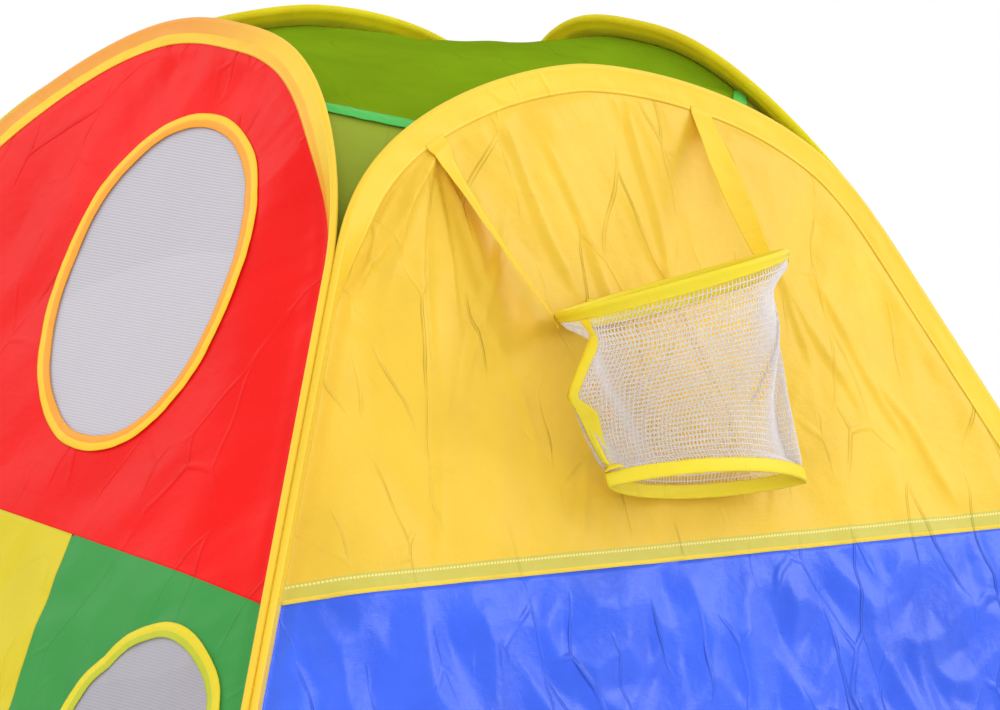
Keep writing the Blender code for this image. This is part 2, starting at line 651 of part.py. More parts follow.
# Floor sheet under the four casings
turn = np.linspace(0, math.pi / 2, FLOOR_CORNER_POINTS)
quarter = np.stack([np.cos(turn), np.sin(turn)], 1) * FLOOR_CORNER_RADIUS
outline = []
for sx, sy in ((1, 1), (-1, 1), (-1, -1), (1, -1)):
    arc = (quarter + (BASE_WIDTH / 2 - FLOOR_CORNER_RADIUS, BASE_DEPTH / 2 - FLOOR_CORNER_RADIUS)) * (sx, sy)
    outline += list(arc if sx * sy > 0 else arc[::-1])
count = len(outline)
verts = [(x, y, z) for z in (0.0, CLOTH) for x, y in outline]
faces = [tuple(range(count)), tuple(range(2 * count - 1, count - 1, -1))]
faces += [(k, (k + 1) % count, count + (k + 1) % count, count + k) for k in range(count)]
add_object("floor_sheet", verts, faces, None, BLUE, smooth=False)

# Hoop net: the rim stands out from the front wall, hinged where its back is sewn on
sleeve_bead = RIM_BORE_RADIUS + TAPE_PLY
hoop_stand = CLOTH / 2 + 2 * CLEARANCE + TAB_THICKNESS + sleeve_bead
hinge_point = front.world(HOOP_OFFSET, HOOP_UP_WALL, hoop_stand)
rim_right = np.array([math.cos(HOOP_ROLL), 0.0, math.sin(HOOP_ROLL)])
rim_back = np.array([0.0, math.cos(HOOP_TILT), -math.sin(HOOP_TILT)])
rim_back -= (rim_back @ rim_right) * rim_right
rim_back /= np.linalg.norm(rim_back)
rim_up = np.cross(rim_right, rim_back)
hoop_centre = hinge_point - HOOP_RADIUS * rim_back
axes = Matrix(np.column_stack([rim_right, rim_back, rim_up]).tolist()).to_4x4()
hoop_pivot = add_empty("hoop_pivot", Matrix.Translation(Vector(hinge_point.tolist())) @ axes)
net_pivot = add_empty("net_pivot", Matrix.Translation(Vector(hoop_centre.tolist())) @ axes, hoop_pivot)


def in_frame(points, empty):
    """World points in the frame of an empty."""
    m = np.array(empty.matrix_world.inverted())
    return np.asarray(points) @ m[:3, :3].T + m[:3, 3]


def ring_of(angle):
    """Centre line and outward direction of the rim at angles about its centre."""
    out = np.cos(angle)[:, None] * rim_right + np.sin(angle)[:, None] * rim_back
    return hoop_centre + HOOP_RADIUS * out, out


def sleeve_width(angle):
    """The sleeve is wider round the back, where it is sewn to the wall."""
    behind = np.maximum(np.sin(angle), 0)
    return RIM_SLEEVE_WIDTH + (RIM_SLEEVE_BACK_WIDTH - RIM_SLEEVE_WIDTH) * behind


bpy.context.view_layer.update()
around = np.arange(NET_COLUMNS) * 2 * math.pi / NET_COLUMNS
points, out = ring_of(around)
down = np.tile(-rim_up, (len(points), 1))
verts, faces = sweep(points, down, out, circle_profile(RIM_WIRE_RADIUS, WIRE_SIDES), True)
add_object("rim_wire", in_frame(verts, hoop_pivot), faces, hoop_pivot, STEEL, roughness=0.3, metallic=1.0)
sleeve = [folded_tape_profile(RIM_BORE_RADIUS, TAPE_PLY, slot, width, math.pi)
          for width in sleeve_width(around)]
verts, faces = sweep(points, down, out, sleeve, True)
add_object("rim_sleeve", in_frame(verts, hoop_pivot), faces, hoop_pivot, BRIGHT_YELLOW)

tab = [(HOOP_OFFSET - TAB_WIDTH / 2, HOOP_UP_WALL - TAB_HEIGHT / 2),
       (HOOP_OFFSET + TAB_WIDTH / 2, HOOP_UP_WALL - TAB_HEIGHT / 2),
       (HOOP_OFFSET + TAB_WIDTH / 2, HOOP_UP_WALL + TAB_HEIGHT / 2),
       (HOOP_OFFSET - TAB_WIDTH / 2, HOOP_UP_WALL + TAB_HEIGHT / 2)]
front.cloth("hoop_back_tab", [tab], CLOTH / 2 + CLEARANCE + TAB_THICKNESS / 2, YELLOW,
            thickness=TAB_THICKNESS)

# Net bag: from the round rim down to a flat oval hem that leans on the wall
wall_in = front.direction(0, 0, -1)
wall_down = front.direction(0, -1, 0)
wall_right = front.direction(1, 0, 0)
hem_right = math.cos(HEM_TURN) * wall_right + math.sin(HEM_TURN) * wall_down
hem_down = math.cos(HEM_TURN) * wall_down - math.sin(HEM_TURN) * wall_right
hem_in = math.cos(HEM_TILT) * wall_in + math.sin(HEM_TILT) * hem_down
hem_up = np.cross(hem_right, hem_in)
hem_half = slot / 2 + TAPE_PLY
hem_stand = (CLOTH / 2 + CLEARANCE + hem_half + HEM_HALF_DEPTH * math.cos(HEM_TILT)
             + HEM_HEIGHT * math.sin(HEM_TILT))
hem_centre = front.world(HEM_OFFSET, HEM_UP_WALL, hem_stand)


def hem_of(angle):
    """Lower edge of the hem and its outward direction at the rim's angles."""
    point = (hem_centre + HEM_HALF_LENGTH * np.cos(angle)[:, None] * hem_right
             + HEM_HALF_DEPTH * np.sin(angle)[:, None] * hem_in)
    out = (np.cos(angle)[:, None] / HEM_HALF_LENGTH * hem_right
           + np.sin(angle)[:, None] / HEM_HALF_DEPTH * hem_in)
    return point, out / np.linalg.norm(out, axis=1)[:, None]


def net_rows(angle):
    """Rows of net points from inside the sleeve's slot to inside the hem's slot."""
    top, _ = ring_of(angle)
    low, _ = hem_of(angle)
    behind = np.maximum(np.sin(angle), 0)[:, None]
    start = top - rim_up * (sleeve_width(angle) - sleeve_bead + CLEARANCE)[:, None]
    end = low + hem_up * (HEM_HEIGHT + CLEARANCE)
    pull = np.linalg.norm(end - start, axis=1)[:, None]
    leave = -rim_up * (1 - behind) + wall_down * behind
    arrive = -hem_up * (1 - behind) + wall_down * behind
    rows = [top - rim_up * NET_TUCK]
    for q in np.linspace(0, 1, NET_ROWS - 1):
        h00, h10 = 2 * q ** 3 - 3 * q ** 2 + 1, q ** 3 - 2 * q ** 2 + q
        h01, h11 = -2 * q ** 3 + 3 * q ** 2, q ** 3 - q ** 2
        rows.append(h00 * start + h10 * pull * leave + h01 * end + h11 * pull * arrive)
    rows.append(low + hem_up * (TAPE_PLY + CLEARANCE + NET_STRAND))
    return np.array(rows)


rows = net_rows(around)
net = add_object("net_bag", in_frame(rows.reshape(-1, 3), net_pivot),
                 grid_faces(len(rows), NET_COLUMNS, wrap=True), net_pivot, NET_WHITE, roughness=0.6)
strands = net.modifiers.new("strands", "WIREFRAME")
strands.thickness = NET_STRAND
strands.use_even_offset = False
strands.use_boundary = True
strands.use_replace = True

points, out = hem_of(around)
up = np.tile(hem_up, (len(points), 1))
profile = [(HEM_HEIGHT, hem_half), (0.0, hem_half), (0.0, -hem_half), (HEM_HEIGHT, -hem_half),
           (HEM_HEIGHT, -slot / 2), (TAPE_PLY, -slot / 2), (TAPE_PLY, slot / 2), (HEM_HEIGHT, slot / 2)]
verts, faces = sweep(points, up, out, profile, True)
add_object("net_hem", in_frame(verts, net_pivot), faces, net_pivot, BRIGHT_YELLOW)

spread = np.linspace(-1, 1, TAPE_POINTS) * NET_TAPE_HALF_ANGLE
rows = net_rows(math.pi + spread)[1:-1]
across = rows[:, -1] - rows[:, 0]
downward = np.gradient(rows[:, TAPE_POINTS // 2], axis=0)
facing = np.cross(across, downward)
facing *= (np.sign(facing @ -rim_right) / np.linalg.norm(facing, axis=1))[:, None]
rows = rows + (NET_STRAND + CLEARANCE) * facing[:, None, :]
rows[0] -= rim_up * CLOTH
rows[-1] += hem_up * CLOTH
tape = add_object("net_side_tape", in_frame(rows.reshape(-1, 3), net_pivot),
                  grid_faces(len(rows), TAPE_POINTS), net_pivot, BRIGHT_YELLOW)
solidify(tape, TAPE_PLY)


def add_strap(name, offset, rim_angle, sense, turn_shares):
    """A flat strap from the casing's inner edge to the outside of the rim's sleeve.

    Its width turns from the arch's line to the rim's, which it follows in the sense given.
    """
    side = math.copysign(1, offset)
    share = front.arch_share_at(offset, casing_reach)
    face = ply_face + CLEARANCE + TAPE_PLY / 2
    (u, s), tangent = front.arch_point(share, side, casing_reach - STRAP_LAP)
    lap = front.world(u, s, face)
    (u, s), _ = front.arch_point(share, side, casing_reach + CLEARANCE)
    edge = front.world(u, s, face)
    top_width = front.direction(tangent[0], tangent[1], 0)
    (rim,), (out,) = ring_of(np.array([rim_angle]))
    rim_width = sense * np.cross(rim_up, out)
    bead_side = rim + (sleeve_bead + CLEARANCE + TAPE_PLY) * out
    low = rim + (slot / 2 + TAPE_PLY + CLEARANCE + TAPE_PLY) * out - rim_up * STRAP_DROP_ON_SLEEVE
    path = [lap, edge] + [edge + (bead_side - edge) * q for q in STRAP_PATH_SHARES] + [low]
    turns = (0, 0, *turn_shares, 1)
    rows = []
    for point, q in zip(path, turns):
        width = (1 - q) * top_width + q * rim_width
        width *= STRAP_WIDTH / 2 / np.linalg.norm(width)
        rows.append([point - width, point, point + width])
    rows = np.array(rows)
    strap = add_object(name, rows.reshape(-1, 3), grid_faces(len(rows), 3), None, YELLOW)
    solidify(strap, TAPE_PLY)


add_strap("left_strap", LEFT_STRAP_OFFSET, LEFT_STRAP_ANGLE, -1, LEFT_STRAP_TURN_SHARES)
add_strap("right_strap", RIGHT_STRAP_OFFSET, RIGHT_STRAP_ANGLE, 1, RIGHT_STRAP_TURN_SHARES)
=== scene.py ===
import math
import bpy
import numpy as np
from mathutils import Matrix


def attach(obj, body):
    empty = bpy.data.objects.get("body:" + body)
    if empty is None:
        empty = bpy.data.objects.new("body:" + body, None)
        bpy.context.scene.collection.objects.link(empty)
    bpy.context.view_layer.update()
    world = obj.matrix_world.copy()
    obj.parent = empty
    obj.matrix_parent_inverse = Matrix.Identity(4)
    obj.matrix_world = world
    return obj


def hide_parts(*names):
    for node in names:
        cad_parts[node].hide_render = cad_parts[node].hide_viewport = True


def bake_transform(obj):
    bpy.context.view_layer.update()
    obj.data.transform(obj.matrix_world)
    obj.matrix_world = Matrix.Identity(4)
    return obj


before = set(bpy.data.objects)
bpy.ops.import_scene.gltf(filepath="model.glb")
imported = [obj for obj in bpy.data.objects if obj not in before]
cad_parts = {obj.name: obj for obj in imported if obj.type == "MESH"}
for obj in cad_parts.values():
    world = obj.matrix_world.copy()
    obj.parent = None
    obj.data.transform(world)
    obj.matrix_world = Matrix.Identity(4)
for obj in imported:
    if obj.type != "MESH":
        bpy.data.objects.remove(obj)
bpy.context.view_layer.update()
print("frame loaded:", len(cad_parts), "nodes")

# the tent's driving sizes, as the CAD has them (metres)
tent = {
    "baseWidth": 1.284, "baseDepth": 1.076, "partingWidth": 0.600, "partingDepth": 0.478,
    "partingHeight": 0.580, "frontRise": 0.144, "sideRise": 0.154, "seamHeight": 0.366,
    "cornerRadius": 0.070, "frontPowers": (3.27, 1.67), "sidePowers": (2.04, 2.77),
    "beadRadius": 0.0033, "beadGap": 0.00015, "footGap": 0.0013, "footLean": math.radians(20),
    "tapeWidth": 0.023, "clothThickness": 0.0004, "clothTuck": 0.012,
    "seamAllowance": 0.0150, "floorRadius": 0.045,
}
tent["reach"] = tent["tapeWidth"] - tent["beadRadius"]   # from the wire's centre to the tape's inner edge
tuckIn = tent["reach"] - tent["clothTuck"]
up = np.array([0, 0, 1.0])


# shapes
def unit(v):
    return v / np.linalg.norm(v, axis=-1, keepdims=True)


def smoothStep(x):
    x = np.clip(x, 0, 1)
    return x * x * (3 - 2 * x)


def walked(line):
    # the length walked from a line's first point to each of its points
    return np.concatenate([[0], np.cumsum(np.linalg.norm(np.diff(line, axis=0), axis=1))])


def closedLine(line):
    return np.concatenate([line, line[:1]])


def evenSteps(line, count, endpoint=False):
    # points at even steps along a line, and how far along it they are
    length = walked(line)
    at = np.linspace(0, length[-1], count, endpoint=endpoint)
    return np.stack([np.interp(at, length, c) for c in line.T], 1), at


def mirrored(half):
    # a closed outline from its right half, which runs from the foot's middle to the top
    return closedLine(np.concatenate([half, (half * (-1, 1))[-2:0:-1]]))


def closedTangent(line):
    return unit(np.roll(line, -1, 0) - np.roll(line, 1, 0))


gradientCount = 4096
gradients = np.random.default_rng(3).uniform(0, 2 * math.pi, gradientCount)


def noise(x, y, seed=0):
    # gradient noise: each unit cell's four corner slopes, blended by the quintic step, about -0.7 to 0.7
    x, y = np.broadcast_arrays(np.asarray(x, float), np.asarray(y, float))
    ix, iy = np.floor(x).astype(int), np.floor(y).astype(int)
    fx, fy = x - ix, y - iy
    sx, sy = (f ** 3 * (f * (6 * f - 15) + 10) for f in (fx, fy))
    total = 0
    for dx in (0, 1):
        for dy in (0, 1):
            angle = gradients[((ix + dx) * 73 + (iy + dy) * 1319 + seed * 517) % gradientCount]
            slope = np.cos(angle) * (fx - dx) + np.sin(angle) * (fy - dy)
            total = total + slope * (sx if dx else 1 - sx) * (sy if dy else 1 - sy)
    return total


batch = 4000


def crumple(u, s, spots, slope, soft):
    # crumpled cloth: the lower envelope of many shallow cones, its creases rounded by a soft minimum
    flat = np.stack([u.ravel(), s.ravel()], 1)
    out = np.empty(len(flat))
    for start in range(0, len(flat), batch):
        p = flat[start:start + batch]
        d = p[:, None, :] - spots[None, :, :2]
        along = d[..., 0] * spots[:, 2] + d[..., 1] * spots[:, 3]
        across = d[..., 1] * spots[:, 2] - d[..., 0] * spots[:, 3]
        h = slope * np.hypot(along * spots[:, 4], across) + spots[:, 5]
        low = h.min(1)
        out[start:start + batch] = low - soft * np.log(np.exp((low[:, None] - h) / soft).sum(1))
    return out.reshape(u.shape)


def crumpleSpots(seed, box, count, lean, spread, stretch, lift):
    # cone tips strewn over a box, each stretched along its own direction
    r = np.random.default_rng(seed)
    u = r.uniform(box[0], box[1], count)
    s = r.uniform(box[2], box[3], count)
    angle = r.normal(lean, spread, count)
    lifted = r.uniform(0, lift, count)
    return np.stack([u, s, np.cos(angle), np.sin(angle), np.full(count, stretch), lifted], 1)


creaseStyle = {"bend": 0.035, "turns": 3.1, "phase": 40, "fade": 0.3, "dip": 0.55, "dipAway": 1.8,
               "dipWide": 1.6}


def creaseLines(u, s, lines):
    # each line is u0, s0, u1, s1, width, height: a soft ridge (or valley) along it that fades at its
    # ends, with a shallower dip beside it
    total = np.zeros(u.shape)
    style = creaseStyle
    for u0, s0, u1, s1, width, height in lines:
        length = math.hypot(u1 - u0, s1 - s0)
        cu, cs = (u1 - u0) / length, (s1 - s0) / length
        t = ((u - u0) * cu + (s - s0) * cs) / length
        bend = style["bend"] * length * np.sin(style["turns"] * t + style["phase"] * u0)
        d = -(u - u0) * cs + (s - s0) * cu + bend
        fade = smoothStep(t / style["fade"] + 0.5) * smoothStep((1 - t) / style["fade"] + 0.5)
        total += height * fade * np.exp(-np.abs(d) / width)
        total -= style["dip"] * height * fade * np.exp(-np.abs(d - style["dipAway"] * width)
                                                       / (style["dipWide"] * width))
    return total


def makeWall(name, turn, span, parting, depth, partingDepth, rise, powers):
    # the hoop's wire: a flat bottom, round corners, straight legs and an arch whose half width is
    # the leg's own times (1 - w^a)^(1/b), w running from the parting to the top
    lean = math.atan2((depth - partingDepth) / 2, tent["partingHeight"])
    slope = (span - parting) / 2 / (tent["partingHeight"] / math.cos(lean))
    angle = math.atan(slope)
    along = tent["inset"] / math.cos(angle)
    foot = (tent["footGap"] + tent["beadRadius"] * math.cos(tent["footLean"])) / math.cos(lean)
    partingUp = tent["partingHeight"] / math.cos(lean)
    a, b = powers
    w = np.sin(np.linspace(0, 1, 1500) * math.pi / 2)
    height = partingUp + (rise / math.cos(lean) - tent["inset"]) * w
    arch = np.stack([(span / 2 - along - height * slope) * (1 - w ** a) ** (1 / b), height], 1)
    radius = tent["cornerRadius"]
    cornerU = span / 2 - along - foot * slope - radius / math.tan((math.pi / 2 - angle) / 2)
    turnBy = np.linspace(-math.pi / 2, angle, 25)
    corner = np.stack([cornerU + radius * np.cos(turnBy), foot + radius + radius * np.sin(turnBy)], 1)
    loop = mirrored(np.concatenate([[[0, foot]], corner, arch]))
    path, at = evenSteps(loop, 1200)
    tangent = closedTangent(path)
    matrix = (Matrix.Rotation(math.radians(turn), 4, "Z") @ Matrix.Translation((0, -depth / 2, 0))
              @ Matrix.Rotation(math.pi / 2 - lean, 4, "X"))
    return {"name": name, "seamUp": tent["seamHeight"] / math.cos(lean), "arch": arch,
            "archAt": walked(arch), "path": path, "at": at, "tangent": tangent, "length": walked(loop)[-1],
            "inward": np.stack([-tangent[:, 1], tangent[:, 0]], 1), "matrix": np.array(matrix)}


def place(wall, u, s, n):
    # wall coordinates (across, up the slope, out of the wall) to the tent's frame
    local = np.stack(np.broadcast_arrays(u, s, n), -1)
    return local @ wall["matrix"][:3, :3].T + wall["matrix"][:3, 3]


def direction(wall, u, s, n):
    return wall["matrix"][:3, :3] @ np.array((u, s, n), float)


def halfWidth(wall, d):
    # the right-hand edge's u at a height up the slope, at a distance d inside the wire
    line = wall["path"] + d * wall["inward"]
    line = line[:len(line) // 2]
    first = int(np.argmax(line[:, 0]))
    u, s = line[first:].T
    low = line[:first + 1]
    keep = low[:, 1] > low[0, 1] + 1e-6
    s = np.concatenate([low[keep, 1], s[1:]])
    u = np.concatenate([low[keep, 0], u[1:]])
    order = np.argsort(s)
    return s[order], u[order]


def edgePlace(wall, u, s):
    # arc length along the wire and distance inside it, from the nearest station
    flat = np.stack([u.ravel(), s.ravel()], 1)
    t, d = np.empty(len(flat)), np.empty(len(flat))
    stations = wall["path"][::2]
    for start in range(0, len(flat), batch):
        p = flat[start:start + batch]
        gap = ((p[:, None, :] - stations[None]) ** 2).sum(2)
        k = gap.argmin(1) * 2
        off = p - wall["path"][k]
        t[start:start + batch] = wall["at"][k] + (off * wall["tangent"][k]).sum(1)
        d[start:start + batch] = (off * wall["inward"][k]).sum(1)
    return t.reshape(u.shape), d.reshape(u.shape)


# the ridge at the front left corner: which leg of each wall, how high it goes and how it fades in
ridge = {"deep": 0.0155, "narrow": 0.20, "fade": 0.045, "from": 0.10, "foot": 0.02, "rise": 0.08,
         "front": {"side": -1, "top": 0.700, "grow": 0.07}, "left": {"side": 1, "top": 0.800, "grow": 0.10}}


def cornerShare(wall, u, s):
    # 1 along the front left corner's two legs, 0 elsewhere
    leg = ridge.get(wall["name"])
    if leg is None:
        return 0 * u
    high = smoothStep((leg["top"] - s) / leg["grow"])
    return (smoothStep((leg["side"] * u - ridge["from"]) / ridge["rise"]) * high
            * smoothStep((s - ridge["foot"]) / ridge["rise"]))


def cornerDip(wall, u, s, d):
    # there both tapes turn back behind their wires, so the two wires stand out as a ridge
    share = cornerShare(wall, u, s)
    inside = np.maximum(d, 0)
    reach = tent["reach"] * (1 - ridge["narrow"] * share)
    beyond = np.maximum(inside - reach, 0)
    return -ridge["deep"] * share * np.minimum(inside / reach, 1) * np.exp(-(beyond / ridge["fade"]) ** 2)


def meshPiece(name, verts, index, starts, loopUv):
    # an object from its vertices, its faces' corners, where each face starts, and each corner's UV
    mesh = bpy.data.meshes.new(name)
    mesh.vertices.add(len(verts))
    mesh.vertices.foreach_set("co", verts.reshape(-1).astype(np.float32))
    mesh.loops.add(len(index))
    mesh.loops.foreach_set("vertex_index", index.astype(np.int32))
    mesh.polygons.add(len(starts))
    mesh.polygons.foreach_set("loop_start", starts.astype(np.int32))
    mesh.update(calc_edges=True)
    mesh.uv_layers.new(name="UVMap").data.foreach_set("uv", loopUv.reshape(-1).astype(np.float32))
    mesh.shade_smooth()
    piece = bpy.data.objects.new(name, mesh)
    bpy.context.scene.collection.objects.link(piece)
    return piece


def seamUv(uv, step=(0, 0)):
    # repeats a closed grid's first column of UVs after its last, a step further on
    return np.concatenate([uv, uv[:, :1] + step], 1)


def gridMesh(name, points, uv, wrap=False, flip=False, thickness=tent["clothThickness"], pole=False):
    # a surface from a grid of points (rows x columns); wrap joins the last column to the first, and
    # pole closes the first row with a fan from its middle
    rows, columns = points.shape[:2]
    cells = columns if wrap else columns - 1
    i, j = np.meshgrid(np.arange(rows - 1), np.arange(cells), indexing="ij")
    k = (j + 1) % columns
    corners = [(i, j), (i, k), (i + 1, k), (i + 1, j)]
    uvCorners = [(i, j), (i, j + 1), (i + 1, j + 1), (i + 1, j)]
    if flip:
        corners, uvCorners = corners[::-1], uvCorners[::-1]
    index = np.stack([a * columns + b for a, b in corners], -1).reshape(-1)
    starts = np.arange(0, len(index), 4)
    loopUv = np.stack([uv[a, b] for a, b in uvCorners], -2).reshape(-1, 2)
    verts = points.reshape(-1, 3)
    if pole:
        j = np.arange(cells)
        fan = np.stack([np.full(cells, len(verts)), (j + 1) % columns, j], -1)
        fanUv = np.stack([np.broadcast_to(uv[0].mean(0), (cells, 2)), uv[0, j + 1], uv[0, j]], 1)
        if flip:
            fan, fanUv = fan[:, ::-1], fanUv[:, ::-1]
        starts = np.concatenate([starts, len(index) + 3 * j])
        index = np.concatenate([index, fan.reshape(-1)])
        loopUv = np.concatenate([loopUv, fanUv.reshape(-1, 2)])
        verts = np.concatenate([verts, points[0].mean(0)[None]])
    piece = meshPiece(name, verts, index, starts, loopUv)
    if thickness:
        shell = piece.modifiers.new("thickness", "SOLIDIFY")
        shell.thickness = thickness
        shell.offset = 0.0
        shell.use_rim = True
    return piece


def bake(piece):
    # applies the piece's modifiers to its mesh
    graph = bpy.context.evaluated_depsgraph_get()
    mesh = bpy.data.meshes.new_from_object(piece.evaluated_get(graph))
    piece.modifiers.clear()
    piece.data = mesh


def dress(piece, look, node, body="tent"):
    piece.data.materials.clear()
    piece.data.materials.append(look)
    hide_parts(node)
    if body:
        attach(piece, body)


leans = [math.atan2((tent[base] - tent[parting]) / 2, tent["partingHeight"])
         for base, parting in (("baseDepth", "partingDepth"), ("baseWidth", "partingWidth"))]
cosBetween = math.sin(leans[0]) * math.sin(leans[1])
tent["inset"] = (tent["beadRadius"] + tent["beadGap"]) / math.sin((math.pi - math.acos(cosBetween)) / 2)
frontSizes = [tent[key] for key in ("baseWidth", "partingWidth", "baseDepth", "partingDepth", "frontRise",
                                    "frontPowers")]
sideSizes = [tent[key] for key in ("baseDepth", "partingDepth", "baseWidth", "partingWidth", "sideRise",
                                   "sidePowers")]
front = makeWall("front", 0, *frontSizes)
right = makeWall("right", 90, *sideSizes)
back = makeWall("back", 180, *frontSizes)
left = makeWall("left", 270, *sideSizes)


# materials
def linear(r, g, b):
    # a colour read in 0 to 255 to linear light
    c = np.array((r, g, b)) / 255
    return tuple(np.where(c <= 0.04045, c / 12.92, ((c + 0.055) / 1.055) ** 2.4))


def addNode(tree, kind, values=None, **settings):
    # a node with its settings; a value that is a socket is linked, and any other is set
    node = tree.nodes.new("ShaderNode" + kind)
    for key, value in settings.items():
        setattr(node, key, value)
    for key, value in (values or {}).items():
        if isinstance(value, bpy.types.NodeSocket):
            tree.links.new(value, node.inputs[key])
        else:
            node.inputs[key].default_value = value
    return node


def math2(tree, operation, *values):
    # the result of a Math node on sockets and numbers
    return addNode(tree, "Math", dict(enumerate(values)), operation=operation).outputs[0]


def remap(tree, value, low=0.0, high=1.0, toLow=0.0, toHigh=1.0, curve="LINEAR"):
    return addNode(tree, "MapRange", {"Value": value, "From Min": low, "From Max": high, "To Min": toLow,
                                      "To Max": toHigh}, interpolation_type=curve).outputs[0]


def makeGroup(name, inputs, outputs):
    group = bpy.data.node_groups.new(name, "ShaderNodeTree")
    group.interface.new_socket("Vector", in_out="INPUT", socket_type="NodeSocketVector")
    for label, value in inputs.items():
        socket = group.interface.new_socket(label, in_out="INPUT", socket_type="NodeSocketFloat")
        socket.default_value = value
    for label in outputs:
        group.interface.new_socket(label, in_out="OUTPUT", socket_type="NodeSocketFloat")
    return group, group.nodes.new("NodeGroupInput").outputs, group.nodes.new("NodeGroupOutput").inputs


def crinkleGroup():
    # thin taffeta's small creases: the edges of drawn-out cells, pulled about by a slow noise and shown
    # in patches, over a soft noise and the thread's slubs
    group, given, result = makeGroup("taffetaCrinkle", {"Size": 26.0, "Pull": 0.03, "Slub": 0.12},
                                     ("Height", "Shade"))

    def noiseAt(vector, scale, detail, roughness=0.5, output="Fac"):
        return addNode(group, "TexNoise", {"Vector": vector, "Scale": scale, "Detail": detail,
                                           "Roughness": roughness}).outputs[output]

    drift = noiseAt(given["Vector"], 7.0, 2.0, output="Color")
    centred = addNode(group, "VectorMath", {0: drift, 1: (0.5, 0.5, 0.5)}, operation="SUBTRACT")
    scaled = addNode(group, "VectorMath", {0: centred.outputs[0], "Scale": given["Pull"]}, operation="SCALE")
    pulled = addNode(group, "VectorMath", {0: given["Vector"], 1: scaled.outputs[0]}, operation="ADD")
    moved = pulled.outputs[0]
    drawn = addNode(group, "Mapping", {"Vector": moved, "Rotation": (0, 0, 0.42), "Scale": (1.0, 0.36, 1.0)})
    cells = addNode(group, "TexVoronoi", {"Vector": drawn.outputs[0], "Scale": given["Size"],
                                          "Randomness": 1.0}, feature="DISTANCE_TO_EDGE")
    sharp = remap(group, cells.outputs["Distance"], 0.0, 0.035, 0.9, 0.0, "SMOOTHERSTEP")
    patches = remap(group, noiseAt(given["Vector"], 11.0, 2.0), 0.46, 0.66)
    creases = math2(group, "MULTIPLY", sharp, patches)
    body = math2(group, "MULTIPLY_ADD", noiseAt(moved, 34.0, 4.0, 0.55), 0.9, creases)
    stretched = addNode(group, "Mapping", {"Vector": given["Vector"], "Scale": (1.0, 22.0, 1.0)})
    thread = noiseAt(stretched.outputs[0], 46.0, 3.0, 0.7)
    group.links.new(math2(group, "MULTIPLY_ADD", thread, given["Slub"], body), result["Height"])
    group.links.new(noiseAt(moved, 5.0, 5.0, 0.6), result["Shade"])
    return group


def stitchGroup():
    # a line of lockstitches at a distance across a tape: dashes on a fine sunken line
    group, given, result = makeGroup("stitchRow", {"Line": 0.002, "Pitch": 0.0032, "Wide": 0.0007},
                                     ("Thread", "Groove"))
    parts = addNode(group, "SeparateXYZ", {0: given["Vector"]}).outputs
    away = math2(group, "ABSOLUTE", math2(group, "SUBTRACT", parts["Y"], given["Line"]))
    groove = remap(group, math2(group, "DIVIDE", away, given["Wide"]), 0.4, 1.6, 1.0, 0.0)
    phase = math2(group, "FRACT", math2(group, "DIVIDE", parts["X"], given["Pitch"]))
    dash = math2(group, "LESS_THAN", phase, 0.68)
    group.links.new(math2(group, "MULTIPLY", dash, groove), result["Thread"])
    group.links.new(groove, result["Groove"])
    return group


crinkle = crinkleGroup()
stitchRow = stitchGroup()


def mixColour(tree, factor, a, b):
    a, b = (c if isinstance(c, bpy.types.NodeSocket) else (*c, 1.0) for c in (a, b))
    return addNode(tree, "Mix", {0: factor, 6: a, 7: b}, data_type="RGBA").outputs[2]


def newMaterial(name):
    material = bpy.data.materials.new(name)
    material.use_nodes = True
    return material, material.node_tree, material.node_tree.nodes["Principled BSDF"].inputs


def clothLook(name, look, bands=(), stitches=()):
    # dyed taffeta: a glossy thread over a part that lets light through. Bands are (from, to, colour,
    # share, run) up the second coordinate, a run fading them in along the first, and stitches are
    # (line, colour, width) across it
    material, tree, shader = newMaterial(name)
    place2d = addNode(tree, "UVMap", uv_map="UVMap").outputs[0]
    marks = addNode(tree, "Group", {"Vector": place2d, "Size": 21.0, "Pull": 0.035, "Slub": 0.10},
                    node_tree=crinkle)
    shade, height = marks.outputs["Shade"], marks.outputs["Height"]
    colour = mixColour(tree, remap(tree, shade, 0.32, 0.68), look["dark"], look["light"])
    parts = addNode(tree, "SeparateXYZ", {0: place2d}).outputs
    soft = 0.0006
    for low, high, tint, share, *run in bands:
        cover = math2(tree, "MULTIPLY", remap(tree, parts["Y"], low - soft, low + soft),
                      remap(tree, parts["Y"], high - soft, high + soft, share, 0.0))
        if run:
            cover = math2(tree, "MULTIPLY", cover, remap(tree, parts["X"], *run[0], curve="SMOOTHSTEP"))
        colour = mixColour(tree, cover, colour, tint)
    for line, tint, wide in stitches:
        row = addNode(tree, "Group", {"Vector": place2d, "Line": line, "Wide": wide}, node_tree=stitchRow)
        colour = mixColour(tree, row.outputs["Thread"], colour, tint)
        height = math2(tree, "MULTIPLY_ADD", row.outputs["Groove"], -0.15, height)
    rough = remap(tree, shade, toLow=look["rough"] - 0.06, toHigh=look["rough"] + 0.08)
    bump = addNode(tree, "Bump", {"Strength": look.get("bump", 0.5), "Distance": 0.0016, "Height": height})
    shader["Specular IOR Level"].default_value = look.get("shine", 0.25)
    for socket, value in ((colour, "Base Color"), (rough, "Roughness"), (bump.outputs[0], "Normal")):
        tree.links.new(socket, shader[value])
    glow = addNode(tree, "BsdfTranslucent", {"Color": colour, "Normal": bump.outputs[0]})
    mix = addNode(tree, "MixShader", {0: look["through"], 1: tree.nodes["Principled BSDF"].outputs[0],
                                      2: glow.outputs[0]})
    tree.links.new(mix.outputs[0], tree.nodes["Material Output"].inputs["Surface"])
    return material


weave = {"turn": math.radians(-4), "threads": (("X", 0.0011, 0.5), ("Y", 0.0024, 1.0))}


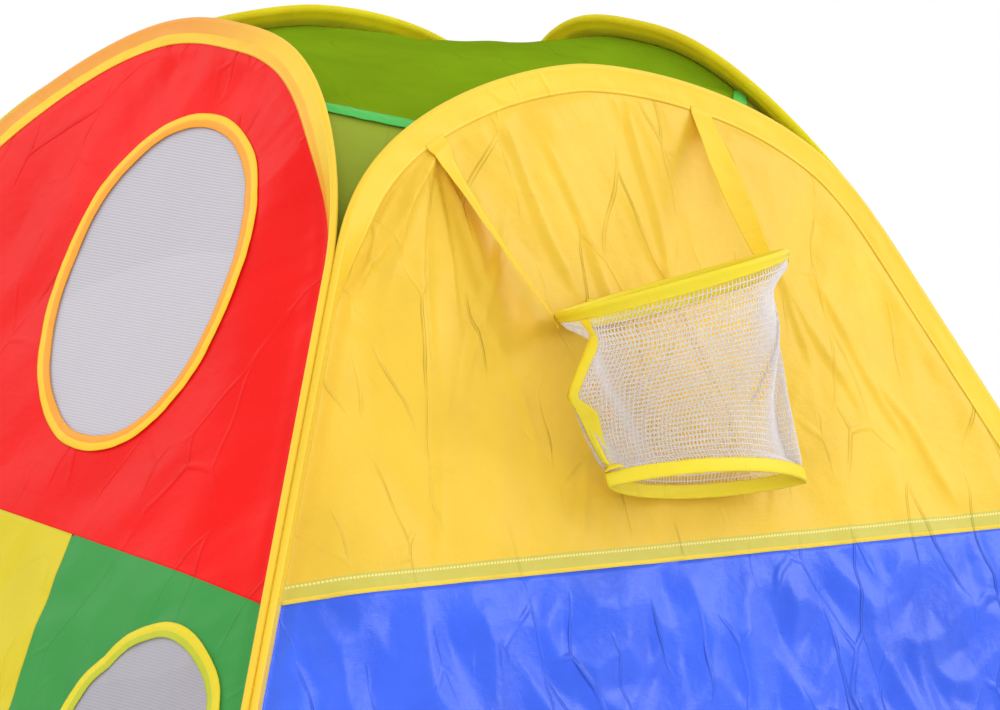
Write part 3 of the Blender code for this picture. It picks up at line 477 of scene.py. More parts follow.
def meshLook(name, dark, light, least, most):
    # woven see-through mesh: fine threads both ways, close enough to read as a grey veil. Its white threads
    # are painted grey and its gaps darker: painted shade of the tent's inside seen through it, as the veil
    # is nearly opaque
    material, tree, shader = newMaterial(name)
    place2d = addNode(tree, "UVMap", uv_map="UVMap").outputs[0]
    turned = addNode(tree, "Mapping", {"Vector": place2d, "Rotation": (0, 0, weave["turn"])})
    parts = addNode(tree, "SeparateXYZ", {0: turned.outputs[0]}).outputs
    threads = [remap(tree, math2(tree, "SINE", math2(tree, "MULTIPLY", parts[axis], 2 * math.pi / pitch)),
                     -1.0, 0.6, 0.0, share) for axis, pitch, share in weave["threads"]]
    cover = math2(tree, "MAXIMUM", *threads)
    bump = addNode(tree, "Bump", {"Strength": 0.25, "Distance": 0.0004, "Height": cover})
    shader["Roughness"].default_value = 0.55
    # the gaps take the dark colour and the threads the light one: painted shade of the inside between the
    # threads
    for socket, value in ((mixColour(tree, cover, linear(*dark), linear(*light)), "Base Color"),
                          (remap(tree, cover, toLow=least, toHigh=most), "Alpha"),
                          (bump.outputs[0], "Normal")):
        tree.links.new(socket, shader[value])
    return material


def steelLook(name):
    # drawn spring wire: fine lengthwise drawing marks and a little dulling
    material, tree, shader = newMaterial(name)
    place3d = addNode(tree, "TexCoord").outputs["Object"]
    marks = addNode(tree, "TexNoise", {"Vector": place3d, "Scale": 600.0, "Detail": 3.0}).outputs["Fac"]
    tree.links.new(remap(tree, marks, toLow=0.22, toHigh=0.42), shader["Roughness"])
    tree.links.new(mixColour(tree, marks, (0.42, 0.43, 0.45), (0.60, 0.61, 0.62)), shader["Base Color"])
    shader["Metallic"].default_value = 1.0
    return material


def lookOf(r, g, b, spread, rough, through, **more):
    # a cloth's settings: its colour with its darker and lighter shade, and how it takes the light
    c = np.array(linear(r, g, b))
    return {"dark": tuple(c * (1 - spread)), "light": tuple(np.minimum(c * (1 + spread), 1)), "rough": rough,
            "through": through, **more}


looks = {
    "yellow": lookOf(244, 203, 62, 0.09, 0.40, 0.16, shine=0.27, bump=1.1),
    "blue": lookOf(50, 98, 240, 0.16, 0.32, 0.08, shine=0.40, bump=1.5),
    "red": lookOf(242, 24, 20, 0.07, 0.42, 0.10, shine=0.14, bump=0.8),
    "green": lookOf(66, 158, 76, 0.08, 0.44, 0.14, shine=0.16),
    "lemon": lookOf(228, 208, 46, 0.06, 0.44, 0.14, shine=0.16),
    # the far casings' tape: the casing tape's yellow made lighter and more translucent, painted light for
    # inner faces that lie in shade
    "litFarTape": lookOf(255, 240, 58, 0.08, 0.5, 0.60, shine=0.06, bump=0.3),
    "tape": lookOf(252, 212, 62, 0.05, 0.42, 0.16, bump=0.30),
    "bright": lookOf(255, 236, 62, 0.04, 0.42, 0.34, bump=0.30),
    "roof": lookOf(122, 154, 22, 0.12, 0.60, 0.14, shine=0.0, bump=0.7),
    "gusset": lookOf(164, 182, 58, 0.08, 0.50, 0.24, shine=0.10, bump=0.5),
    "roofTape": lookOf(80, 196, 86, 0.10, 0.34, 0.14, bump=0.6),
    "olive": lookOf(212, 204, 88, 0.06, 0.40, 0.20),
    "strap": lookOf(255, 226, 70, 0.05, 0.42, 0.30, bump=0.3),
    "cord": {"dark": (0.92, 0.90, 0.91), "light": (1.0, 0.98, 0.99), "rough": 0.5, "through": 0.55,
             "bump": 0.1},
}
frontSeam = front["seamUp"]
seamEdge = frontSeam + 0.0032        # the top of the bright strip next to the lower cloth
leftTop = left["length"] / 2
yellowFront = clothLook("yellow_front_taffeta", looks["yellow"],
                        bands=[(seamEdge, frontSeam + tent["seamAllowance"], linear(206, 200, 88), 0.85),
                               (frontSeam - 0.002, seamEdge, linear(255, 224, 74), 0.9)],
                        stitches=[(frontSeam + 0.0125, linear(255, 240, 150), 0.0008)])
plainLooks = {"yellow": "yellow_taffeta", "blue": "blue_taffeta", "red": "red_taffeta",
              "green": "green_taffeta", "olive": "seam_allowance", "roof": "roof_taffeta",
              "gusset": "gusset_taffeta", "roofTape": "roof_tape", "strap": "strap_tape",
              "lemon": "lemon_taffeta", "bright": "bright_tape", "cord": "net_cord"}
cloth = {key: clothLook(name, looks[key]) for key, name in plainLooks.items()}
# the far casings' tape: a lighter copy of the casing tape, painted light, with a 5 mm strip along its edges
# in a flat yellow, painted light on the strip next to the stitched edge
litFarTape = clothLook("far_casing_tape_lit", looks["litFarTape"], bands=[(-0.001, 0.0050, linear(255, 236, 60), 0.8)])
casingTape = clothLook("casing_tape", looks["tape"], stitches=[(0.0022, linear(255, 226, 104), 0.0005)])
leftBands = [(0.0085, 0.0300, linear(244, 150, 72), 0.75, (leftTop - 0.10, leftTop + 0.06)),
             (-0.001, 0.0085, linear(250, 170, 56), 0.60, (leftTop + 0.10, leftTop - 0.15))]
leftCasingTape = clothLook("casing_tape_over_red", looks["tape"], bands=leftBands,
                           stitches=[(0.0022, linear(252, 212, 76), 0.0005)])
windowTape = clothLook("window_binding_tape", looks["tape"],
                       bands=[(-0.001, 0.0065, linear(255, 158, 44), 0.8),
                              (0.0065, 0.0200, linear(255, 206, 40), 0.7)])
lowWindowTape = clothLook("low_window_binding_tape", looks["bright"],
                          bands=[(-0.001, 0.0055, linear(190, 215, 70), 0.6)])
# the white window mesh painted grey: painted shade of the tent's inside seen through it
windowMesh = meshLook("window_mesh_weave", (174, 169, 177), (192, 187, 194), 0.955, 0.985)
# the lower window's mesh: the same mesh painted darker, painted shade for the lower window, which gets less
# light inside
shadedLowMesh = meshLook("low_window_mesh_shaded", (156, 153, 161), (166, 162, 170), 0.965, 0.99)
springSteel = steelLook("spring_steel")
print("materials made:", len(bpy.data.materials))


# wall cloth: crumples above the seam, a slow billow, and puckers at the casing's and the seam's stitches
reliefs = {
    "front": {"seed": 21, "count": 220, "lean": 1.35, "spread": 0.40, "stretch": 0.30, "slope": 0.150,
              "lift": 0.006, "soft": 0.0005, "billow": 0.004, "pucker": 0.6, "lower": 1},
    "left": {"seed": 5, "count": 140, "lean": 1.45, "spread": 0.5, "stretch": 0.35, "slope": 0.110,
             "lift": 0.003, "soft": 0.0006, "billow": 0.003, "pucker": 0.3, "lower": 0.45},
    "right": {"seed": 31, "count": 180, "lean": 1.3, "spread": 0.6, "stretch": 0.4, "slope": 0.05,
              "lift": 0.004, "soft": 0.0006, "billow": 0.004, "pucker": 1.0, "lower": 1},
    "back": {"seed": 47, "count": 180, "lean": 1.3, "spread": 0.6, "stretch": 0.4, "slope": 0.05,
             "lift": 0.004, "soft": 0.0006, "billow": 0.003, "pucker": 1.0, "lower": 1},
}
# the lower cloths' closer crumples
lowerRelief = {"count": 720, "spread": 0.9, "stretch": 0.42, "slope": 0.36, "lift": 0.008, "soft": 0.0004}
# where the cones are strewn, each crumple's level, and the puckers: wave, reach and height from the
# casing, wave and height at the seam
clothMarks = {"box": (-0.62, 0.62, -0.02, 0.86), "upperLevel": 0.0035, "lowerLevel": 0.004, "drawn": 1.7,
              "atCasing": ((0.021, 0.030, 0.0016), (0.037, 0.060, 0.0022), (0.066, 0.110, 0.0026)),
              "atSeam": ((0.016, 0.0005), (0.029, 0.0008)), "seamReach": 0.022, "edgeDrop": 0.0010}
# creases of the photo's front wall: u0, s0, u1, s1, width, height
frontCreases = [
    (-0.246, 0.640, -0.187, 0.735, 0.0040, 0.0022), (-0.222, 0.560, -0.176, 0.735, 0.0035, -0.0020),
    (-0.190, 0.560, -0.120, 0.690, 0.0045, 0.0016), (-0.140, 0.500, -0.165, 0.640, 0.0040, 0.0014),
    (-0.060, 0.640, -0.100, 0.770, 0.0040, 0.0018), (-0.020, 0.600, -0.060, 0.740, 0.0040, 0.0018),
    (0.030, 0.620, 0.045, 0.780, 0.0040, 0.0018), (0.060, 0.560, 0.020, 0.700, 0.0050, 0.0014),
    (0.150, 0.620, 0.125, 0.760, 0.0040, 0.0016), (0.170, 0.560, 0.140, 0.700, 0.0040, 0.0018),
    (0.210, 0.520, 0.165, 0.640, 0.0040, 0.0016), (0.260, 0.500, 0.200, 0.620, 0.0040, 0.0016),
    (-0.120, 0.440, -0.060, 0.560, 0.0045, 0.0014), (-0.260, 0.440, -0.210, 0.560, 0.0045, 0.0016),
    (0.090, 0.440, 0.150, 0.540, 0.0045, 0.0016), (0.300, 0.440, 0.240, 0.540, 0.0045, 0.0016),
]
# the cloth drawn away from the casing below the left strap's sewn end
pulledFolds = [
    (-0.286, 0.660, -0.178, 0.756, 0.0060, -0.0085), (-0.280, 0.645, -0.168, 0.738, 0.0045, 0.0050),
    (-0.150, 0.640, -0.166, 0.745, 0.0040, 0.0030), (-0.176, 0.620, -0.172, 0.745, 0.0030, -0.0025),
]


def wallRelief(wall, u, s):
    # how far the cloth stands out of the wall's plane, flat where the casing and the seam hold it
    style = reliefs[wall["name"]]
    t, d = edgePlace(wall, u, s)
    inside = d - tent["reach"]
    seamGap = np.abs(s - wall["seamUp"])
    spots = crumpleSpots(style["seed"], clothMarks["box"], style["count"], style["lean"], style["spread"],
                         style["stretch"], style["lift"])
    upper = crumple(u, s, spots, style["slope"], style["soft"]) - clothMarks["upperLevel"]
    low = lowerRelief
    spots = crumpleSpots(style["seed"] + 1, clothMarks["box"], low["count"], style["lean"], low["spread"],
                         low["stretch"], low["lift"])
    lower = crumple(u, s, spots, low["slope"] * style["lower"], low["soft"]) - clothMarks["lowerLevel"]
    mixUp = smoothStep((s - wall["seamUp"] + 0.01) / 0.02)
    relief = upper * mixUp + lower * (1 - mixUp)
    if wall is front:
        relief = relief + clothMarks["drawn"] * creaseLines(u, s, frontCreases)
    relief = relief + style["billow"] * noise(u * 4.1 + 3, s * 3.7, style["seed"])
    relief = relief * smoothStep((inside + 0.002) / 0.030) * (0.35 + 0.65 * smoothStep(seamGap / 0.035))
    pucker = 0
    for wave, reach, height in clothMarks["atCasing"]:
        gather = 1 - 2.6 * np.abs(noise(t / wave + 0.35 * d / wave, d / (3 * reach), int(wave * 1000)))
        grow = smoothStep((inside + 0.001) / 0.010)
        pucker = pucker + height * gather * grow * np.exp(-np.maximum(inside, 0) / reach)
    for wave, height in clothMarks["atSeam"]:
        gather = 1 - 2.4 * np.abs(noise(u / wave, s / 0.05, 9 + int(wave * 1000)))
        grow = np.exp(-seamGap / clothMarks["seamReach"]) * smoothStep(inside / 0.01)
        pucker = pucker + height * gather * grow
    if wall is front:
        relief = relief + creaseLines(u, s, pulledFolds) * smoothStep((inside + 0.002) / 0.008)
    drop = clothMarks["edgeDrop"] * smoothStep(inside / 0.05)
    return relief + style["pucker"] * pucker - drop + cornerDip(wall, u, s, d)


def rowSheet(name, wall, low, high, rows, columns, edges=(None, None), out=0.0, tuck=tuckIn, dense=None):
    # rows across a wall from one height to another: u runs between the two edges, s up the slope
    q = np.linspace(0, 1, rows)
    if dense == "top":
        q = np.sin(q * math.pi / 2)
    elif dense == "foot":
        q = 0.5 * (1 - np.cos(q * math.pi / 2)) + 0.5 * q
    s = low + (high - low) * q
    edge = np.interp(s, *halfWidth(wall, tuck))
    lowEdge = np.maximum(-edge, edges[0](s)) if edges[0] else -edge
    highEdge = np.minimum(edge, edges[1](s)) if edges[1] else edge
    u = lowEdge[:, None] + (highEdge - lowEdge)[:, None] * np.linspace(0, 1, columns)
    s = np.repeat(s[:, None], columns, 1)
    return gridMesh(name, place(wall, u, s, wallRelief(wall, u, s) + out), np.stack([u, s], -1))


def ringSheet(name, wall, outer, inner, rings, closed=True):
    # a sheet round a hole: each row runs from a point of the hole's edge to one of the outer edge
    uv = inner + (outer - inner) * np.linspace(0, 1, rings)[:, None, None]
    u, s = uv[..., 0], uv[..., 1]
    points = place(wall, u, s, wallRelief(wall, u, s))
    return gridMesh(name, points, seamUv(uv) if closed else uv, wrap=closed, flip=True)


# the hand's wavering when the cloth is cut: how far, how often round the edge, and the noise's seed
cutWaver = ((0.0009, 2.4, 19), (0.0003, 7, 23))


def oval(hole, count):
    # a tilted oval, cut by hand: its edge wavers a little in and out
    a = np.arange(count) * 2 * math.pi / count
    wide, high, tilt = hole["halfWide"], hole["halfHigh"], hole["tilt"]
    out = unit(np.stack([np.cos(a) / wide, np.sin(a) / high], 1))
    waver = sum(far * noise(often * np.cos(a), often * np.sin(a), seed) for far, often, seed in cutWaver)
    p = np.stack([wide * np.cos(a), high * np.sin(a)], 1) + waver[:, None] * out
    turn = np.array([[math.cos(tilt), -math.sin(tilt)], [math.sin(tilt), math.cos(tilt)]])
    return p @ turn.T + np.array(hole["centre"]), out @ turn.T


def rayOutline(centre, targets, loop):
    # where rays from a centre towards each target meet a closed outline that it sees all round
    angle = np.arctan2(*(loop - centre).T[::-1])
    order = np.argsort(angle)
    a = angle[order]
    r = np.linalg.norm(loop - centre, axis=1)[order]
    want = np.arctan2(*(targets - centre).T[::-1])
    reach = np.interp(want, np.concatenate([a - 2 * math.pi, a, a + 2 * math.pi]), np.tile(r, 3))
    return centre + reach[:, None] * np.stack([np.cos(want), np.sin(want)], 1)


def clippedOutline(wall, tuck, keeps, count=2400):
    # the hoop's outline at a distance inside the wire, cut by half planes (point, direction kept)
    loop = wall["path"] + tuck * wall["inward"]
    for point, keep in keeps:
        side = (loop - point) @ np.asarray(keep, float)
        following, sideNext = np.roll(loop, -1, 0), np.roll(side, -1)
        out = []
        for i in range(len(loop)):
            if side[i] >= 0:
                out.append(loop[i])
            if side[i] * sideNext[i] < 0:
                out.append(loop[i] + (following[i] - loop[i]) * side[i] / (side[i] - sideNext[i]))
        loop = np.array(out)
    return evenSteps(closedLine(loop), count)[0]


frontTop = halfWidth(front, tuckIn)[0].max() - 0.0003
sideFoot = halfWidth(left, tuckIn)[0].min() + 0.0001
fine = 1.0


def n(count):
    return max(8, int(count * fine))


# front wall
piece = rowSheet("front_upper_sheet", front, frontSeam, frontTop, n(140), n(260), dense="top")
dress(piece, yellowFront, "front_upper_cloth")
foot = halfWidth(front, tuckIn)[0].min() + 0.0001
piece = rowSheet("front_lower_sheet", front, foot, frontSeam, n(130), n(330), dense="foot")
dress(piece, cloth["blue"], "front_lower_cloth")
print("front wall made")

# the walls' windows and the left wall's yellow stripe, whose edges run from its foot to the seam
windows = {
    "left_window": {"wall": left, "centre": (0.0518, 0.6305), "halfWide": 0.0955, "halfHigh": 0.140,
                    "tilt": math.radians(16), "tape": windowTape, "mesh": windowMesh, "slot": "yellow_tape",
                    "seed": 61},
    "left_low_window": {"wall": left, "centre": (0.2820, 0.270), "halfWide": 0.0780, "halfHigh": 0.112,
                        "tilt": math.radians(8), "tape": lowWindowTape, "mesh": shadedLowMesh,
                        "slot": "bright_yellow_tape", "seed": 67},
    "right_window": {"wall": right, "centre": (-0.0478, 0.635), "halfWide": 0.0955, "halfHigh": 0.140,
                     "tilt": math.radians(-16), "tape": windowTape, "mesh": windowMesh,
                     "slot": "yellow_tape", "seed": 71},
}
stripe = {"foot": 0.215, "top": 0.115}


def windowed(name, hole, keeps, rings, count):
    wall, centre = hole["wall"], np.array(hole["centre"])
    inner, _ = oval(hole, count)
    outer = rayOutline(centre, inner, clippedOutline(wall, tuckIn, keeps))
    return ringSheet(name, wall, outer, inner, rings)


def stripeEdge(sign):
    return lambda s: sign * (stripe["foot"] + (stripe["top"] - stripe["foot"]) * s / left["seamUp"])


sideSeam = left["seamUp"]
piece = windowed("left_upper_sheet", windows["left_window"], [((0, sideSeam), (0, 1))], n(60), n(560))
dress(piece, cloth["red"], "left_upper_cloth")
stripeOut = unit(np.array([sideSeam, stripe["foot"] - stripe["top"]]))
piece = windowed("left_lower_front_sheet", windows["left_low_window"],
                 [((0, sideSeam), (0, -1)), (np.array([stripe["foot"], 0.0]), stripeOut)], n(60), n(420))
dress(piece, cloth["green"], "left_lower_front_cloth")
piece = rowSheet("left_lower_middle_sheet", left, sideFoot, sideSeam, n(120), n(110),
                 edges=(stripeEdge(-1), stripeEdge(1)))
dress(piece, cloth["lemon"], "left_lower_middle_cloth")
piece = rowSheet("left_lower_back_sheet", left, sideFoot, sideSeam, n(120), n(90),
                 edges=(None, stripeEdge(-1)), dense="foot")
dress(piece, cloth["green"], "left_lower_back_cloth")
print("left wall made")

# right wall
piece = windowed("right_upper_sheet", windows["right_window"], [((0, sideSeam), (0, 1))], n(36), n(340))
dress(piece, cloth["blue"], "right_upper_cloth")
piece = rowSheet("right_lower_sheet", right, sideFoot, sideSeam, n(70), n(180), dense="foot")
dress(piece, cloth["yellow"], "right_lower_cloth")

# back wall with the crawl door
door = {"half": 0.215, "sill": 0.050, "top": 0.560, "corner": 0.05375, "binding": 0.0120}


def doorLine(count):
    # the door's edge from the sill's middle, anticlockwise: sill, corner, side, half-round top and back
    spring = door["top"] - door["half"]
    c = door["corner"]
    turn = np.linspace(-math.pi / 2, 0, 30)
    low = np.stack([door["half"] - c + c * np.cos(turn), door["sill"] + c + c * np.sin(turn)], 1)
    top = np.linspace(0, math.pi / 2, 80)
    arc = np.stack([door["half"] * np.cos(top), spring + door["half"] * np.sin(top)], 1)
    line, _ = evenSteps(mirrored(np.concatenate([[[0, door["sill"]]], low, arc])), count)
    tangent = closedTangent(line)
    return line, np.stack([tangent[:, 1], -tangent[:, 0]], 1)


def seamRun(loop, height, above, count):
    # the part of a closed outline above (or below) a height, from its right end to its left one
    inside = loop[:, 1] > height if above else loop[:, 1] < height
    start = int(np.argmax(inside & ~np.roll(inside, 1)))
    run = np.roll(loop, -start, 0)[:int(inside.sum())]
    ends = [[p[0], height] for p in (run[0], run[-1])]
    return evenSteps(np.concatenate([ends[:1], run, ends[1:]]), count, endpoint=True)[0]


wallLoop = back["path"] + tuckIn * back["inward"]
doorLoop, _ = doorLine(1600)
for level, colour, area in (("upper", "green", 0.185), ("lower", "red", 0.26)):
    outer, inner = (seamRun(loop, back["seamUp"], level == "upper", n(330)) for loop in (wallLoop, doorLoop))
    piece = ringSheet("back_" + level + "_sheet", back, outer, inner, n(36), closed=False)
    dress(piece, cloth[colour], "back_" + level + "_cloth")
print("right and back walls made")

# seam allowances behind the seams: how far below and above the stitches they reach, how far behind the
# cloth they lie and how far they stay clear of the casing and the door's binding
strip = {"below": 0.004, "above": 0.011, "behind": 0.0013, "clear": 0.0003}


def allowance(name, node, wall, look, edges=(None, None)):
    low, high = wall["seamUp"] - strip["below"], wall["seamUp"] + strip["above"]
    piece = rowSheet(name, wall, low, high, n(8), n(180), edges=edges, out=-strip["behind"],
                     tuck=tent["reach"] + strip["clear"])
    dress(piece, look, node)


def doorEdge(sign):
    return lambda s: np.full(s.shape, sign * (door["half"] + door["binding"] + strip["clear"]))


allowance("front_allowance", "front_seam_strip", front, cloth["olive"])
allowance("left_allowance", "left_seam_strip", left, cloth["red"])
allowance("right_allowance", "right_seam_strip", right, cloth["olive"])
for side, edges in (("left", (None, doorEdge(-1))), ("right", (doorEdge(1), None))):
    allowance("back_allowance_" + side, "back_seam_strip_" + side, back, cloth["green"],
              edges=edges)

# casings
casing = {"slot": 0.0006, "ease": 0.0004, "bulge": 0.0006, "wrinkle": 0.00112, "waver": 0.00054,
          "across": 13, "stations": {"front": 1000, "left": 1000, "back": 600, "right": 600}}
beadTurn = np.linspace(math.radians(86), math.radians(274), 9)


def foldedTape(reach, bead, slot, across):
    # the section of a tape folded round a wire: the front ply from its stitched edge to the bead, round
    # the wire and back along the back ply
    q = np.linspace(0, 1, across)
    x = reach + (0.34 * bead - reach) * q
    h = slot + (bead * 0.94 - slot) * q ** 1.6
    return np.stack([np.concatenate([x, bead * np.cos(beadTurn), x[::-1]]),
                     np.concatenate([h, bead * np.sin(beadTurn), -h[::-1]])], 1)


def casingPiece(wall):
    # the hoop's tape, whose plies bulge between stitches and wire and wrinkle across
    at = np.linspace(0, wall["length"], n(casing["stations"][wall["name"]]), endpoint=False)
    closedAt = np.append(wall["at"], wall["length"])
    take = [np.interp(at, closedAt, np.append(c, c[0])) for c in (*wall["path"].T, *wall["inward"].T)]
    path, inward = np.stack(take[:2], 1), unit(np.stack(take[2:], 1))
    bead = tent["beadRadius"] + casing["ease"] - tent["clothThickness"] / 2
    profile = foldedTape(tent["reach"], bead, casing["slot"], casing["across"])
    profileX, profileN = profile.T
    q = np.linspace(0, 1, casing["across"])
    swell = np.sin(math.pi * q) * (1 - q) * 1.6
    atBead = np.zeros(len(beadTurn))
    weight = np.concatenate([swell, atBead, -swell[::-1]])
    edge = np.concatenate([1 - q, atBead, (1 - q)[::-1]])
    seed = reliefs[wall["name"]]["seed"]
    t = at[:, None]
    wave = noise(t / 0.032, profileX / 0.03, seed) + 0.6 * noise(t / 0.013, profileX / 0.02, seed + 2)
    fold = 0.5 + 0.5 * noise(t / 0.09, 0, seed + 4)
    bulge = casing["bulge"] * (0.5 + fold) + casing["wrinkle"] * wave
    nOut = profileN + weight * np.maximum(bulge, -0.0004)
    xIn = profileX + casing["waver"] * noise(t / 0.05, 0, seed + 5) * edge
    turned = cornerShare(wall, path[:, :1], path[:, 1:])
    xIn = np.where(xIn > 0, xIn * (1 - ridge["narrow"] * turned), xIn)
    u, s = path[:, :1] + inward[:, :1] * xIn, path[:, 1:] + inward[:, 1:] * xIn
    points = place(wall, u, s, nOut + cornerDip(wall, u, s, xIn)).transpose(1, 0, 2)
    run = walked(profile)
    uv = np.stack(np.broadcast_arrays(t, np.minimum(run, run[-1] - run)), -1).transpose(1, 0, 2)
    return gridMesh(wall["name"] + "_casing_tape", points, seamUv(uv, (wall["length"], 0)), wrap=True)


walls = (front, right, back, left)
for wall in walls:
    # the back and right casings take the far tape, a lighter copy of the casing tape painted light for their
    # shaded faces
    tape = {"left": leftCasingTape, "front": casingTape}.get(wall["name"], litFarTape)
    dress(casingPiece(wall), tape, wall["name"] + "_casing")
print("casings made")


# windows and door binding
def bindingPiece(name, wall, line, out, profile, seed, wrinkle=0.0004):
    # a tape carried round an opening: t outwards from the opening's edge, h out of the wall
    length = walked(closedLine(line))
    at = length[:-1, None]
    t, h = profile.T
    wave = noise(at / 0.017, t / 0.02, seed) + 0.7 * noise(at / 0.007, t / 0.01, seed + 1)
    across = t + 0.0006 * noise(at / 0.03, 0, seed + 3) * np.sign(t)
    u, s = line[:, :1] + out[:, :1] * across, line[:, 1:] + out[:, 1:] * across
    carried = wallRelief(wall, line[:, :1], line[:, 1:])
    points = place(wall, u, s, h + wrinkle * wave * np.sign(h) + carried).transpose(1, 0, 2)
    uv = np.stack(np.broadcast_arrays(at, walked(profile)), -1).transpose(1, 0, 2)
    return gridMesh(name, points, seamUv(uv, (length[-1], 0)), wrap=True, flip=True), length[-1]


# a window's binding, round over its doubled edge with the stitches' groove along its middle, and its pane
binding = {"half": 0.0062, "lift": 0.0012, "crown": 0.0007, "groove": 0.0003}
pane = {"rings": 26, "slack": 0.0012, "behind": 0.0002}


def windowPieces(name, hole):
    wall = hole["wall"]
    line, out = oval(hole, n(520))
    q = np.linspace(-1, 1, 13)
    crown, groove = binding["crown"] * (1 - np.abs(q) ** 3), binding["groove"] * np.exp(-(q / 0.1) ** 2)
    profile = np.stack([q * binding["half"], binding["lift"] + crown - groove], 1)
    piece, length = bindingPiece(name + "_binding_tape", wall, line, out, profile, hole["seed"])
    dress(piece, hole["tape"], name + "_binding")
    r = np.sqrt(np.linspace(0.0004, 1, n(pane["rings"])))[:, None, None]
    centre = np.array(hole["centre"])
    uv = centre + (line - centre) * r
    u, s, r = uv[..., 0], uv[..., 1], r[..., 0]
    slack = pane["slack"] * noise(u * 22, s * 7, hole["seed"] + 8) * (1 - r ** 4)
    height = wallRelief(wall, line[:, 0][None], line[:, 1][None]) * r ** 2 + slack - pane["behind"]
    piece = gridMesh(name + "_mesh_pane", place(wall, u, s, height), seamUv(uv), wrap=True, flip=True,
                     thickness=0, pole=True)
    dress(piece, hole["mesh"], name + "_mesh")


for name, hole in windows.items():
    windowPieces(name, hole)
q = np.linspace(0, 1, 8)
x = door["binding"] + (-0.0008 - door["binding"]) * q
h = 0.0013 + 0.0004 * np.sin(math.pi * q)
profile = np.stack([np.concatenate([x, x[::-1]]), np.concatenate([h, -h])], 1)
piece, length = bindingPiece("door_binding_tape", back, *doorLine(n(640)), profile, 77, wrinkle=0.0002)
dress(piece, casingTape, "door_binding")
print("windows and door made")

# roof
roof = {"height": 0.708, "tuck": 0.004, "face": 0.0021, "sag": 0.006, "seamGap": 0.0013, "tapeHalf": 0.0062,
        "tapeLift": 0.0022, "gussetLong": 0.17}
shares = {"front": 0.525, "back": 0.525, "left": 0.585, "right": 0.585}
roofMiddle = np.array([0.0, 0.0, roof["height"]])


def archPoint(wall, share, reach):
    # the point at a share of the half arch, a distance inside the wire, and the arch's direction there
    at = np.asarray(share) * wall["archAt"][-1]
    here, ahead, behind = (np.stack([np.interp(at + step, wall["archAt"], c) for c in wall["arch"].T], -1)
                           for step in (0, 0.001, -0.001))
    tangent = unit(ahead - behind)
    return here + reach * np.stack([-tangent[..., 1], tangent[..., 0]], -1), tangent


def archEdge(wall, share, side):
    # points on the inner face of a casing, at shares of the half arch above the parting
    reach = tent["reach"] - roof["tuck"]
    p, _ = archPoint(wall, share, reach)
    u, s = p[..., 0] * side, p[..., 1]
    return place(wall, u, s, -roof["face"] + cornerDip(wall, u, s, np.full(s.shape, reach)))


def cornerEdges(pair, share):
    # the two neighbouring arches' inner edges, from their parting up
    return (archEdge(wall, share * shares[wall["name"]], side) for wall, side in zip(pair, (1, -1)))


cornerPairs = {"front_left": (left, front), "front_right": (front, right), "back_right": (right, back),
               "back_left": (back, left)}
for corner, pair in cornerPairs.items():
    share = np.linspace(0.0, 1.0, n(90))
    a, b = cornerEdges(pair, share)
    v = np.linspace(0, 1, n(70))
    inward = roofMiddle - (a + b) / 2
    inward[:, 2] = 0
    dip = roof["sag"] * (np.sin(math.pi * share)[:, None] * np.sin(math.pi * v))[..., None]
    points = a[:, None] + (b - a)[:, None] * v[:, None] + dip * unit(inward)[:, None]
    normal = unit(np.cross(np.gradient(points, axis=0), np.gradient(points, axis=1)) + 1e-12)
    u = (v - 0.5) * np.linalg.norm(b - a, axis=1)[:, None]
    u, s = np.broadcast_arrays(u, share[:, None] * roof["gussetLong"])
    held = np.sin(math.pi * v) ** 0.6 * np.sin(math.pi * share)[:, None] ** 0.5
    spots = crumpleSpots(83 + len(corner), (-0.1, 0.1, 0, 0.18), 26, 0.9, 0.5, 0.35, 0.004)
    points = points + normal * (held * (crumple(u, s, spots, 0.14, 0.0005) - 0.003))[..., None]
    piece = gridMesh("gusset_" + corner + "_sheet", points, np.stack([u, s], -1))
    dress(piece, cloth["gusset"], "gusset_" + corner)


def roofStart(wall):
    return shares[wall["name"]] + roof["seamGap"] / wall["archAt"][-1]


boundary = []
for wall, following in zip(walls, walls[1:] + walls[:1]):
    run = np.linspace(roofStart(wall), 1, n(60))
    end, begin = archEdge(wall, run[:1], 1), archEdge(following, [roofStart(following)], -1)
    boundary += [archEdge(wall, run, -1), archEdge(wall, run[-2::-1], 1),
                 end + (begin - end) * np.linspace(0, 1, n(30))[1:-1, None]]
boundary = np.concatenate(boundary)
r = np.linspace(0.02, 1, n(52))[:, None]
points = roofMiddle + (boundary - roofMiddle) * np.stack([r, r, r ** 3], -1)
spots = crumpleSpots(97, (-0.26, 0.26, -0.22, 0.22), 110, 0.3, 0.5, 0.3, 0.006)
wave = crumple(points[..., 0], points[..., 1], spots, 0.15, 0.0005) - 0.004
points[..., 2] += (1 - r ** 6) * smoothStep(r * 3) * wave
piece = gridMesh("roof_sheet", points, seamUv(points[..., :2]), wrap=True, pole=True)
dress(piece, cloth["roof"], "roof_top")

